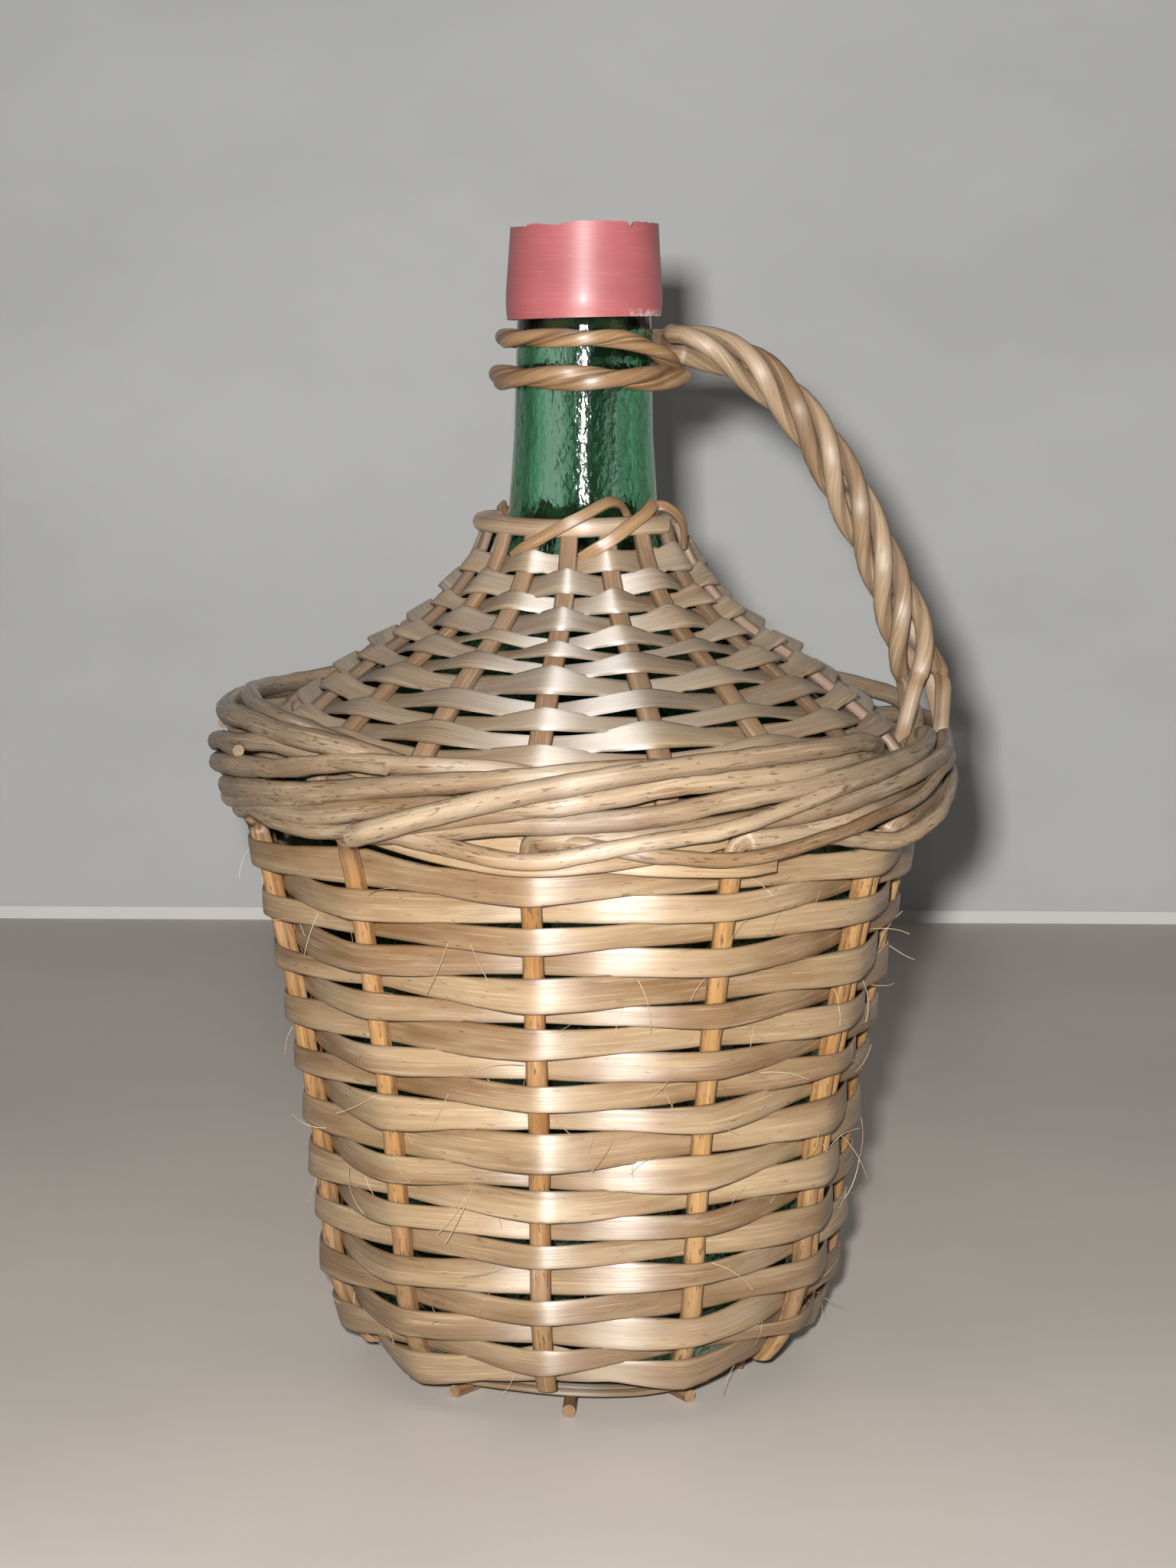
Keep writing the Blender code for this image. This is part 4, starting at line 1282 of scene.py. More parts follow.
def cap_finish(look):
    """Dusty red plastic with faint scratches round it and a scuffed lower edge."""
    finish = Finish("cap_plastic", 0.42, Specular_IOR_Level=0.5, Coat_Weight=0.08, Coat_Roughness=0.24)
    place = finish.place()
    scratches = finish.grain(place, (55.0, 55.0, 4200.0), 3.0, 0.6)
    cloud = finish.grain(place, (70.0, 70.0, 90.0), 3.0, 0.5)
    red = tuple(look.red)
    base = finish.mix(finish.ranged(cloud, 0.35, 0.68), red, dimmed(red, 0.86))
    base = finish.mix(finish.ranged(scratches, 0.60, 0.74, 0.0, 0.20), base, tuple(look.wear))
    axes = finish.add("ShaderNodeSeparateXYZ", place)
    low = MOUTH_HEIGHT - CAP_SKIRT
    near_edge = finish.ranged(axes.outputs["Z"], low + 0.0004, low + 0.0028, 1.0, 0.0)
    right = finish.ranged(axes.outputs["X"], 0.010, 0.017)
    scuff = finish.grain(place, (700.0, 700.0, 900.0), 3.0, 0.6)
    where = finish.math("MULTIPLY", near_edge, right)
    worn = finish.math("MULTIPLY", where, finish.ranged(scuff, 0.40, 0.62))
    finish.colour(finish.mix(worn, base, SCUFF_PALE))
    finish.put(finish.shader.inputs["Roughness"], finish.ranged(scratches, 0.3, 0.75, 0.38, 0.52))
    finish.relief(finish.math("ADD", scratches, finish.math("MULTIPLY", cloud, 2.0)), 0.00004, 0.7)
    return finish.material


def cork_finish():
    """Wine-stained cork with dark pores."""
    finish = Finish("stained_cork", 0.85)
    place = finish.place()
    grains = finish.noise(place, 4.0, 0.6, 900.0)
    stains = finish.noise(place, 2.0, 0.5, 160.0)
    base = finish.mix(finish.ranged(grains, 0.35, 0.65), CORK_LIGHT, CORK_DARK)
    finish.colour(finish.mix(finish.ranged(stains, 0.40, 0.60, 0.0, 0.8), base, WINE_STAIN))
    finish.relief(grains, 0.0003, 0.8)
    return finish.material


def hub_finish(look):
    """The hub of the base, whose solid stays: streaks of willow in Object coordinates."""
    finish = Finish("base_willow", 0.55)
    place = finish.place()
    streaks = finish.grain(place, (500.0, 500.0, 1500.0), 4.0, 0.6)
    broad = finish.grain(place, (60.0, 60.0, 200.0))
    base = finish.mix(finish.ranged(broad, 0.35, 0.65), tuple(look.ring_light), tuple(look.ring_dark))
    finish.colour(finish.mix(finish.ranged(streaks, 0.40, 0.70, 0.0, 0.5), base, HUB_BROWN))
    finish.relief(streaks, 0.0001, 0.8)
    return finish.material


def whisker_finish():
    """Pale bark fibres."""
    finish = Finish("bark_fibre", 0.5)
    place = finish.place()
    shade = finish.noise(place, 2.0, 0.5, 60.0)
    finish.colour(finish.mix(finish.ranged(shade, 0.35, 0.65), FIBRE_PALE, FIBRE_BROWN))
    return finish.material


def plain_finish(name, colour, roughness, bounce, gloss=0.25, one_sided=False, far=None):
    """A plain, faintly mottled surface of the stage, which lights the object by a share of its colour.

    A one-sided surface doesn't hide the object from a camera behind it. Far is what the colour is multiplied
    by at the backdrop: painted light, which makes the far floor paler.
    """
    finish = Finish(name, roughness, Specular_IOR_Level=gloss)
    place = finish.place()
    mottling = finish.grain(place, (5.0, 5.0, 9.0), 4.0, 0.55)
    paler = tuple(min(value * 1.05, 1.0) for value in colour)
    base = finish.mix(finish.ranged(mottling, 0.3, 0.7), dimmed(colour, 0.92), paler)
    # Painted light: the colour is painted paler towards the backdrop.
    if far:
        away = finish.add("ShaderNodeSeparateXYZ", place).outputs["Y"]
        base = finish.mix(finish.ranged(away, -0.25, 0.45), base, finish.mix(1.0, base, far, "MULTIPLY"))
    seen = finish.add("ShaderNodeLightPath")
    by_eye = finish.math("MAXIMUM", seen.outputs["Is Camera Ray"], seen.outputs["Is Glossy Ray"])
    by_eye = finish.math("MAXIMUM", by_eye, seen.outputs["Is Transmission Ray"])
    dim = finish.mix(1.0, base, (bounce, bounce, bounce), "MULTIPLY")
    finish.colour(finish.mix(by_eye, dim, base))
    if one_sided:
        behind = finish.add("ShaderNodeNewGeometry").outputs["Backfacing"]
        unseen = finish.math("MULTIPLY", behind, seen.outputs["Is Camera Ray"])
        clear = finish.add("ShaderNodeBsdfTransparent").outputs[0]
        shown = finish.add("ShaderNodeMixShader", unseen, finish.shader.outputs[0], clear).outputs[0]
        finish.put(finish.tree.nodes["Material Output"].inputs["Surface"], shown)
    return finish.material


# Pieces


def show(piece, body, slot, *nodes):
    """The finished piece rides on its body and stands for its solids."""
    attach(piece, body)
    if nodes:
        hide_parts(*nodes)


def nodes_named(start):
    found = sorted(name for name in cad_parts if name.startswith(start))
    if not found:
        raise RuntimeError(f"no solid starts with {start}")
    return found


def turned(name, profile, steps, material):
    """A turned solid as a plain mesh. The profile starts and ends on the axis, or is a closed loop off it."""
    closed = profile[0][0] > 0.0
    mesh = bpy.data.meshes.new(name)
    shape = bmesh.new()
    corners = [shape.verts.new((radius, 0.0, height)) for radius, height in profile]
    for first, second in zip(corners, corners[1:]):
        shape.edges.new((first, second))
    if closed:
        shape.edges.new((corners[-1], corners[0]))
    shape.to_mesh(mesh)
    shape.free()
    piece = bpy.data.objects.new(name, mesh)
    bpy.context.scene.collection.objects.link(piece)
    spin = piece.modifiers.new("Turn", "SCREW")
    spin.steps = steps
    spin.render_steps = steps
    spin.use_merge_vertices = True
    spin.merge_threshold = 0.00002
    seen = piece.evaluated_get(bpy.context.evaluated_depsgraph_get())
    plain = bpy.data.meshes.new_from_object(seen)
    piece.modifiers.clear()
    piece.data = plain
    bpy.data.meshes.remove(mesh)
    plain.materials.clear()
    plain.materials.append(material)
    tidy = bmesh.new()
    tidy.from_mesh(plain)
    bmesh.ops.remove_doubles(tidy, verts=tidy.verts, dist=0.00002)
    bmesh.ops.recalc_face_normals(tidy, faces=tidy.faces)
    tidy.to_mesh(plain)
    tidy.free()
    plain.shade_smooth()
    plain.set_sharp_from_angle(angle=math.radians(50.0))
    return piece


def finely(profile, longest):
    """The profile with points added, so that no run is longer than this."""
    fine = [profile[0]]
    for first, second in zip(profile, profile[1:]):
        length = math.hypot(second[0] - first[0], second[1] - first[1])
        parts = max(1, math.ceil(length / longest))
        for part in range(1, parts + 1):
            share = part / parts
            fine.append((between(first[0], second[0], share), between(first[1], second[1], share)))
    return fine


def arc(centre, radius, start_deg, end_deg, steps=5):
    """Points of an arc in the plane of radius and height."""
    points = []
    for step in range(steps + 1):
        turn = math.radians(start_deg + (end_deg - start_deg) * step / steps)
        points.append((centre[0] + radius * math.cos(turn), centre[1] + radius * math.sin(turn)))
    return points


def bottle_side():
    return [*heel_line(), *upper_line(8), (NECK_RADIUS, NECK_FOOT_HEIGHT + NECK_RISE)]


def build_glass(look):
    """The bottle, with a rolled lip, an even wall and a punt."""
    side = Meridian(bottle_side())
    lip_foot = MOUTH_HEIGHT - LIP_HEIGHT
    lip_top = arc((LIP_RADIUS - LIP_ROUNDING, MOUTH_HEIGHT - LIP_ROUNDING), LIP_ROUNDING, 0.0, 90.0)
    outside = [
        *[tuple(point) for point in side.points],
        (NECK_RADIUS - LIP_UNDERCUT, lip_foot - LIP_UNDERCUT),
        (LIP_RADIUS, lip_foot + LIP_ROUNDING),
        *lip_top,
    ]
    inside = []
    for mark in side.marks[5:]:
        wall = side.at(mark) - side.normal(mark) * GLASS_WALL
        inside.append(tuple(wall))
    punt_top = BOTTLE_FOOT + PUNT_HEIGHT
    bore = [
        (inside[-1][0], lip_foot - GLASS_WALL),
        (MOUTH_RADIUS, lip_foot),
        (MOUTH_RADIUS, MOUTH_HEIGHT - LIP_ROUNDING / 2),
        (MOUTH_RADIUS + LIP_ROUNDING / 2, MOUTH_HEIGHT),
    ]
    floor = [(0.0, punt_top + GLASS_WALL), (FOOT_RADIUS - FOOT_RING_WIDTH, BOTTLE_FOOT + GLASS_WALL)]
    underside = [(FOOT_RADIUS - FOOT_RING_WIDTH, BOTTLE_FOOT), (0.0, punt_top)]
    profile = [*floor, *inside, *bore, *reversed(outside), *underside]
    piece = turned("bottle", finely(profile, 0.004), look.turn_steps, glass_finish(look))
    show(piece, "demijohn", "green_glass", "glass_bottle")


def build_cap(look, steps):
    """The sleeve: barrel-shaped, cut open raggedly at the top, and hanging a little lower at the left."""
    bottom = MOUTH_HEIGHT - CAP_SKIRT
    top = MOUTH_HEIGHT + CAP_RIM
    belly = bottom + CAP_SKIRT / 3
    web_top = WEB_BOTTOM + WEB_THICKNESS
    web_radius = CORK_RADIUS + WEB_HOLE_GAP
    outer = CAP_INNER_RADIUS + CAP_WALL
    barrel = smooth_line(
        [
            (outer - CAP_RIM_DRAW, top),
            (outer, web_top),
            (outer + CAP_BELLY, belly),
            (outer + CAP_BELLY / 2, bottom),
        ],
        8,
    )
    hollow = smooth_line(
        [
            (CAP_INNER_RADIUS + CAP_BELLY / 2, bottom),
            (CAP_INNER_RADIUS + CAP_BELLY, belly),
            (CAP_INNER_RADIUS, WEB_BOTTOM),
        ],
        6,
    )
    profile = [
        (web_radius, WEB_BOTTOM),
        (web_radius, web_top),
        (CAP_INNER_RADIUS, web_top),
        (CAP_INNER_RADIUS - CAP_RIM_DRAW + 0.0003, top - 0.0002),
        *[tuple(point) for point in barrel],
        *[tuple(point) for point in hollow],
    ]
    piece = turned("cap", finely(profile, 0.0015), steps * 2, cap_finish(look))
    for corner in piece.data.vertices:
        angle = math.atan2(corner.co.y, corner.co.x)
        if corner.co.z > web_top:
            share = (corner.co.z - web_top) / (top - web_top)
            across = Vector((math.cos(angle), math.sin(angle), 0.0))
            swell = noise.noise(across * 1.6 + Vector((3.1, 0.4, 0.0)))
            nick = noise.noise(across * 9.0)
            burr = noise.noise(across * 40.0)
            dip = 0.22 * abs(swell) + 0.22 * max(nick, 0.0) + 0.12 * max(burr, 0.0)
            for place_deg, spread_deg, depth in CAP_DIPS:
                off = (math.degrees(angle) - place_deg + 180.0) % 360.0 - 180.0
                dip += depth * math.exp(-((off / spread_deg) ** 2))
            corner.co.z -= look.tear * share**2 * held(dip)
        elif corner.co.z < belly:
            share = (belly - corner.co.z) / (belly - bottom)
            corner.co.z += look.skew * share * math.cos(angle)
    show(piece, "cap", "red_plastic", "red_cap")


def build_cork(steps):
    top = MOUTH_HEIGHT + CORK_STAND
    bottom = top - CORK_LENGTH
    profile = [
        (0.0, top),
        *reversed(arc((CORK_RADIUS - CORK_CHAMFER, top - CORK_CHAMFER), CORK_CHAMFER, 0.0, 90.0, 4)),
        (CORK_RADIUS, MOUTH_HEIGHT - CORK_LENGTH / 2),
        (CORK_RADIUS - CORK_CHAMFER, bottom),
        (0.0, bottom),
    ]
    piece = turned("cork", finely(profile, 0.002), steps, cork_finish())
    for corner in piece.data.vertices:
        if corner.co.z > top - CORK_CHAMFER / 2:
            corner.co.z -= 0.0004 * abs(noise.noise(corner.co * 260.0))
    show(piece, "cork", "stained_cork", "cork_stopper")


def build_base(look, weave):
    """The base sticks, the mat wound over them, and the hub, which keeps its solid."""
    finish = hub_finish(look)
    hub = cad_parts["base_hub"]
    if not hub.data.materials:
        hub.data.materials.append(finish)
    for row in hub.material_slots:
        row.material = finish
    sticks = []
    for index, cut in enumerate(SPOKE_CUTS):
        angle = math.radians(FIRST_SPOKE_DEG) + 2.0 * math.pi * index / SPOKE_COUNT
        reach = np.linspace(HUB_RADIUS, SPOKE_REACH - cut, STICK_SECTIONS)
        points = [around(radius, angle, SPOKE_SIZE / 2) for radius in reach]
        up = [Vector((0.0, 0.0, 1.0))] * len(points)
        sticks.append(Strand(points, up, [SPOKE_SIZE / 2] * len(points), 0.25 + 0.07 * index))
    bark = willow("stick_willow", (look.ring_light, look.ring_dark, look.grey))
    show(woven("base_sticks", sticks, bark), "demijohn", "round_willow", *nodes_named("base_spoke_"))
    skein = willow("base_skein", (look.skein_light, look.skein_dark, look.grey))
    height = SPOKE_SIZE + FIT_GAP + MAT_THICKNESS / 2
    reach = FOOT_RADIUS + MAT_OVERLAP
    half = MAT_SKEIN_HALF
    points = []
    beats = []
    angle = 0.0
    radius = HUB_RADIUS
    while radius < reach - half:
        points.append(around(radius, angle, height))
        beats.append(angle / (2.0 * math.pi) * SPOKE_COUNT)
        step = MAT_STEP / radius
        angle += step
        radius += (2.0 * half + weave.mat_gap) * step / (2.0 * math.pi)
    count = len(points)
    down = [Vector((0.0, 0.0, -1.0))] * count
    strand = Strand(points, down, [half] * count, 0.4, beats, [MAT_SWING] * count)
    mat = woven("base_weave", [strand], skein, flat=0.26, soft=0.12)
    show(mat, "demijohn", "flat_willow", "base_mat")


def stake_path(line, start, angle):
    """Up the side, over a tight bend, along the border with a slow climb, and in behind the next rods."""
    upright_end = line.distance_at_height(BORDER_ROOT_HEIGHT - BEND_SIZE)
    places = up_line(line, start, upright_end, UPRIGHT_RUNS)
    points = [around(place.x, angle, place.y) for place in places]
    spacing = 2.0 * math.pi / STAKE_COUNT
    bend = BEND_SIZE / (SHOULDER_RADIUS * spacing)
    low = line.at(upright_end)
    first_radius, first_height = border_place(bend)
    corner_radius = (low.x + first_radius) / 2
    knots = [points.pop()]
    knots.append(around(corner_radius, angle + 0.3 * bend * spacing, first_height - 0.3 * BEND_SIZE))
    for step in range(BORDER_RUNS + 1):
        age = bend + (BORDER_REACH - bend) * step / BORDER_RUNS
        radius, height = border_place(age)
        tuck = max(age - BORDER_REACH + TUCK_RUN, 0.0) / TUCK_RUN
        radius -= TUCK_IN * tuck**1.4
        knots.append(around(radius, angle + age * spacing, height - TUCK_DOWN * tuck**2))
    return points, smooth_line(knots, 5)


def partner_path(angle, sag, bulge):
    """A second rod of a stake, which hangs in front of the next stake's bend and then crosses the border."""
    spacing = 2.0 * math.pi / STAKE_COUNT
    knots = []
    for age, out, drop in PARTNER_COURSE:
        radius, height = border_place(age)
        knots.append(around(radius + bulge * out, angle + age * spacing, height - sag * drop))
    return smooth_line(knots, 9)


def front_share(angle):
    """One where the border faces the photograph or the handle, and less at the left and the back."""
    return (0.5 + 0.5 * math.cos(angle - math.radians(FULL_BORDER_DEG))) ** 1.5


def build_stakes(look, weave):
    """The upright stakes, and the border that each makes as it bends over its neighbours."""
    line = side_line()
    start = side_start(line)
    finish = willow(
        "stake_willow",
        (look.stake_light, look.stake_dark, look.grey),
        depth=0.00006,
        rim=(look.rim_light, look.rim_dark),
    )
    chance = random.Random(weave.seed + 1)
    strands = []
    spacing = 2.0 * math.pi / STAKE_COUNT
    for index in range(STAKE_COUNT):
        angle = math.radians(FIRST_STAKE_DEG) + spacing * index
        upright, over = stake_path(line, start, angle)
        over = [over[0], *wandering(over[1:], amount=0.0011, size=0.035, seed=index + 3)]
        points = [*upright, *over]
        grow = chance.uniform(*ROD_GROWTH)
        halves = []
        for place in range(len(points)):
            share = held((place - len(upright)) / 12.0)
            taper = 0.22 * max(place - len(upright), 0) / len(over)
            half = STAKE_RADIUS * 1.06 + (BORDER_ROD_RADIUS * grow - STAKE_RADIUS) * share
            halves.append(half * (1.0 - taper))
        strands.append(Strand(points, radial_outs(points), halves, chance.random()))

        share = front_share(angle + spacing)
        partner = partner_path(angle, LEAST_SAG + MORE_SAG * share, MORE_BULGE * share + LEAST_BULGE)
        path = wandering(partner, amount=0.0009, size=0.03, seed=index + 33)
        thick = chance.uniform(*PARTNER_RADII)
        halves = [thick * (1.0 - 0.3 * place / len(path)) for place in range(len(path))]
        strands.append(Strand(path, radial_outs(path), halves, chance.random()))

    for start_deg, end_deg, radius, low, high, thick in FOLLOWER_RODS:
        knots = []
        for share, out, dive in FOLLOWER_COURSE:
            degrees = between(start_deg, end_deg, share)
            knots.append(around_deg(degrees, radius + out, between(low, high, share) - dive))
        path = wandering(smooth_line(knots, 12), amount=0.0012, size=0.04, seed=round(start_deg))
        strands.append(rod(path, thick, chance.random()))

    strands.append(laid(FRONT_ROD, 8, FRONT_ROD_TONE))

    double = line.distance_at_height(DOUBLE_STAKE_FOOT)
    upright_end = line.distance_at_height(BORDER_ROOT_HEIGHT)
    points = []
    for place in up_line(line, double, upright_end, DOUBLE_STAKE_RUNS):
        angle = math.radians(FIRST_STAKE_DEG) + 2 * spacing + DOUBLE_STAKE_ASIDE / place.x
        points.append(around(place.x, angle, place.y))
    strands.append(rod(points, DOUBLE_STAKE_RADIUS, chance.random()))
    piece = woven("stakes_and_border", strands, finish, uneven=0.0012, uneven_size=0.009)
    show(piece, "demijohn", "round_willow", *nodes_named("body_stake_"))


def build_border_skeins(look, weave):
    """Skeins that fill the side under the border, behind the stakes, and ribbons across the front one."""
    side = Meridian([*heel_line(), *upper_line(9)])
    chance = random.Random(weave.seed + 3)
    strands = []
    for height, half in BORDER_SKEINS:
        glass = side.at(side.distance_at_height(height))
        points = []
        for step in range(BORDER_SKEIN_RUNS + 1):
            angle = 2.0 * math.pi * step / BORDER_SKEIN_RUNS
            rise = BORDER_SKEIN_RISE * math.sin(angle * 2.0 + height * 900.0)
            points.append(around(glass.x + BORDER_SKEIN_OUT, angle, height + rise))
        strands.append(rod(points, half, chance.random()))
    for ribbon in (FRONT_SKEIN, SIDE_SKEIN):
        strands.append(laid(ribbon, 10, chance.random()))
    finish = willow("border_skein", (look.skein_light, look.skein_dark, look.grey))
    piece = woven("border_skeins", strands, finish, flat=0.12, uneven=0.0003)
    show(piece, "demijohn", "flat_willow")


def build_body_weave(look, weave):
    line = side_line()
    sides = Weave(
        line,
        side_start(line),
        line.distance_at_height(BODY_WEAVE_TOP),
        BODY_ROWS,
        STAKE_COUNT,
        math.radians(FIRST_STAKE_DEG) + 2.0 * math.pi * BODY_START_STAKE / STAKE_COUNT,
        (STAKE_RADIUS, STAKE_RADIUS),
        SKEIN_THICKNESS,
        SIDE_HALVES,
    )
    strands = wave_strands(
        sides,
        weave,
        weave.body_step,
        inner=0.26,
        outer=0.10,
        tightness=0.95,
        seed=weave.seed,
        broad_foot=0.35,
    )
    finish = willow("body_skein", (look.skein_light, look.skein_dark, look.grey), ior=1.68)
    piece = woven("body_weave_skeins", strands, finish, flat=0.115, soft=weave.bend_softness, uneven=0.0003)
    show(piece, "demijohn", "flat_willow", "body_weave")
    return piece


def build_ribs(look, weave):
    """Split ribs under the shoulder weave, narrower towards the neck."""
    line = cone_line()
    foot = line.distance_at_height(CONE_FOOT_HEIGHT) - RIB_TAIL
    top = line.distance_at_height(COLLAR_HEIGHT)
    chance = random.Random(weave.seed + 2)
    strands = []
    for index in range(RIB_COUNT):
        angle = math.radians(FIRST_RIB_DEG) + 2.0 * math.pi * index / RIB_COUNT
        points = []
        outs = []
        halves = []
        for step in range(RIB_RUNS + 1):
            distance = foot + (top - foot) * step / RIB_RUNS
            place = line.at(distance)
            normal = line.normal(distance)
            points.append(around(place.x, angle, place.y))
            outs.append(around(normal.x, angle, normal.y))
            halves.append(RIB_BREADTH * (RIB_RADIUS + (RIB_TIP_RADIUS - RIB_RADIUS) * distance / line.length))
        strands.append(Strand(points, outs, halves, chance.random()))
    finish = willow("rib_willow", (look.rib_light, look.rib_dark, look.grey))
    piece = woven("shoulder_ribs", strands, finish, flat=0.45, sides=10, uneven=0.0002)
    show(piece, "demijohn", "round_willow", *nodes_named("shoulder_rib_"))


def build_shoulder_weave(look, weave):
    line = cone_line()
    collar_clear = COLLAR_HEIGHT - COLLAR_ROD_RADIUS - WEAVE_GAP
    top = line.distance_at_height(collar_clear - RIB_TIP_RADIUS / 2)
    cone = Weave(
        line,
        line.distance_at_height(CONE_FOOT_HEIGHT),
        top - 1.5 * RIB_TIP_RADIUS,
        CONE_ROWS,
        RIB_COUNT,
        math.radians(FIRST_RIB_DEG) + 2.0 * math.pi * CONE_START_RIB / RIB_COUNT,
        (RIB_RADIUS, RIB_TIP_RADIUS),
        CONE_SKEIN_THICKNESS,
        CONE_HALVES,
    )
    strands = wave_strands(
        cone, weave, weave.cone_step, inner=0.46, outer=0.32, tightness=0.90, seed=weave.seed + 50
    )
    colours = (look.skein_light, look.skein_dark, look.cone_grey)
    finish = willow("shoulder_skein", colours, depth=0.00016, ior=2.1, comb=0.88)
    piece = woven("shoulder_weave_skeins", strands, finish, flat=0.13, soft=0.10, uneven=0.0002)
    show(piece, "demijohn", "flat_willow", "shoulder_weave")


def collar_radius():
    line = cone_line()
    return line.at(line.distance_at_height(COLLAR_HEIGHT - COLLAR_ROD_RADIUS - WEAVE_GAP)).x


def build_collar(look, weave):
    """The rod round the foot of the neck, with a cut end in front, and the skeins that loop over it."""
    radius = collar_radius()
    points = []
    for step in range(COLLAR_RUNS + 1):
        share = step / COLLAR_RUNS
        degrees = COLLAR_START_DEG + COLLAR_SWEEP_DEG * share
        tuck = max(share - COLLAR_TUCK_FROM, 0.0) / COLLAR_TUCK_SHARE
        height = COLLAR_HEIGHT - COLLAR_TUCK_DOWN * tuck
        points.append(around_deg(degrees, radius - COLLAR_TUCK_IN * tuck, height))
    bent = wandering(points, amount=0.0005, size=0.03, seed=40)
    ring = Strand(bent, radial_outs(points), [COLLAR_ROD_RADIUS * 1.08] * len(points), 0.15)
    rod_look = willow("collar_willow", (look.rim_light, look.rib_dark, look.grey))
    piece = woven("collar_rod", [ring], rod_look, uneven=0.0004)
    show(piece, "demijohn", "round_willow", "collar_ring")

    chance = random.Random(weave.seed + 4)
    loops = []
    for start_deg, sweep_deg, lift in COLLAR_LOOPS:
        knots = []
        ways = []
        for share, out, up in LOOP_COURSE:
            angle = math.radians(start_deg + sweep_deg * share)
            rise = up * lift if up > 0.0 else up
            knots.append(around(radius + out, angle, COLLAR_HEIGHT + rise))
            ways.append(around(1.0, angle, 0.9 * share))
        path = smooth_line(knots, 7)
        faces = [way.normalized() for way in smooth_line(ways, 7)]
        thick = chance.uniform(*LOOP_RADII)
        loops.append(Strand(path, faces, [thick] * len(path), chance.random()))
    stub = [around_deg(degrees, radius + out, COLLAR_HEIGHT + up) for degrees, out, up in COLLAR_STUB]
    loops.append(rod(smooth_line(stub, 8), COLLAR_STUB_RADIUS, 0.9))
    skein = willow("collar_skein", (look.ring_light, look.ring_dark, look.grey))
    wraps = woven("collar_wraps", loops, skein, flat=0.42, uneven=0.0004)
    show(wraps, "demijohn", "flat_willow")


def twist_strands(path, swing, thickness, turns, seed, phase):
    """Two strands laid round each other along a path of points with ways out and up."""
    chance = random.Random(seed)
    strands = []
    last = len(path) - 1
    for number in range(2):
        points = []
        outs = []
        for index, (place, out, up) in enumerate(path):
            turn = phase + 2.0 * math.pi * (number / 2 + turns * index / last)
            away = out * math.cos(turn) + up * math.sin(turn)
            points.append(place + away * swing)
            outs.append(away)
        strands.append(Strand(points, outs, [thickness] * len(points), chance.random()))
    return strands


def neck_radius_at(height):
    side = Meridian(bottle_side())
    neck_foot = side.points[-1]
    return neck_foot.x if height > neck_foot.y else side.at(side.distance_at_height(height)).x


def ring_path(radius, height, start_deg, sweep_deg, steps, dip):
    """A loop round the neck. The dip gives, at each share of the way, how far out and down it goes."""
    path = []
    for step in range(steps + 1):
        share = step / steps
        angle = math.radians(start_deg + sweep_deg * share)
        out, down = dip(share)
        place = around(radius + out, angle, height - down)
        path.append((place, around(1.0, angle, 0.0), Vector((0.0, 0.0, 1.0))))
    return path


def top_rod_age(angle_deg):
    """How many stake spacings ago the rod on top of the border at this angle bent out of the side."""
    age = (angle_deg - FIRST_STAKE_DEG) * STAKE_COUNT / 360.0
    return age + math.floor(BORDER_REACH - age)


def build_neck_rings(look, weave):
    """Two loops of twisted willow that hold the handle to the neck."""
    finish = willow("ring_willow", (look.ring_light, look.ring_dark, look.grey))
    upper = neck_radius_at(UPPER_RING_HEIGHT) + FIT_GAP + UPPER_RING_ROD

    def upper_dip(share):
        late = max(share - 0.80, 0.0) / 0.20
        early = max(0.10 - share, 0.0) / 0.10
        return 0.0035 * late**1.5 + 0.003 * early, 0.0085 * late**1.6 - 0.0005 * early

    path = ring_path(upper, UPPER_RING_HEIGHT, start_deg=24.0, sweep_deg=332.0, steps=110, dip=upper_dip)
    strands = twist_strands(path, swing=0.00075, thickness=0.0019, turns=3.2, seed=weave.seed + 6, phase=0.6)
    ring = woven("neck_loop_upper", strands, finish, uneven=0.0003)
    show(ring, "demijohn", "handle_willow", "neck_ring_upper")

    swing = LOWER_RING_ROD + WEAVE_GAP
    lower = neck_radius_at(LOWER_RING_HEIGHT) + FIT_GAP + LOWER_RING_ROD + swing

    def lower_dip(share):
        late = max(share - 0.93, 0.0) / 0.07
        early = max(0.07 - share, 0.0) / 0.07
        return 0.003 * (late + early), -0.001 * (late + early)

    path = ring_path(lower, LOWER_RING_HEIGHT, start_deg=6.0, sweep_deg=348.0, steps=120, dip=lower_dip)
    strands = twist_strands(path, swing=0.00125, thickness=0.00225, turns=2.6, seed=weave.seed + 7, phase=2.2)
    ring = woven("neck_loop_lower", strands, finish, uneven=0.0003)
    show(ring, "demijohn", "handle_willow", "neck_ring_lower_a", "neck_ring_lower_b")
    return lower + swing + LOWER_RING_ROD


def handle_centre(start_radius):
    """The middle of the handle in the plane of the handle: over from the neck, then down to the border."""
    foot_radius, foot_height = border_place(top_rod_age(0.0))
    foot_radius -= HANDLE_FOOT_IN
    foot_height += BORDER_ROD_RADIUS + WEAVE_GAP + HANDLE_FOOT_LIFT
    start = Vector((start_radius, HANDLE_START_HEIGHT))
    end = Vector((foot_radius, foot_height))
    over = start + Vector((HANDLE_FLAT_RUN, 0.0))
    steep = end + Vector((-HANDLE_STEEP_LEAN, HANDLE_STEEP_RUN))
    line = []
    for step in range(HANDLE_CURVE_RUNS + 1):
        t = step / HANDLE_CURVE_RUNS
        place = start * (1 - t) ** 3 + over * 3 * t * (1 - t) ** 2
        line.append(place + steep * 3 * t**2 * (1 - t) + end * t**3)
    return Meridian(line)


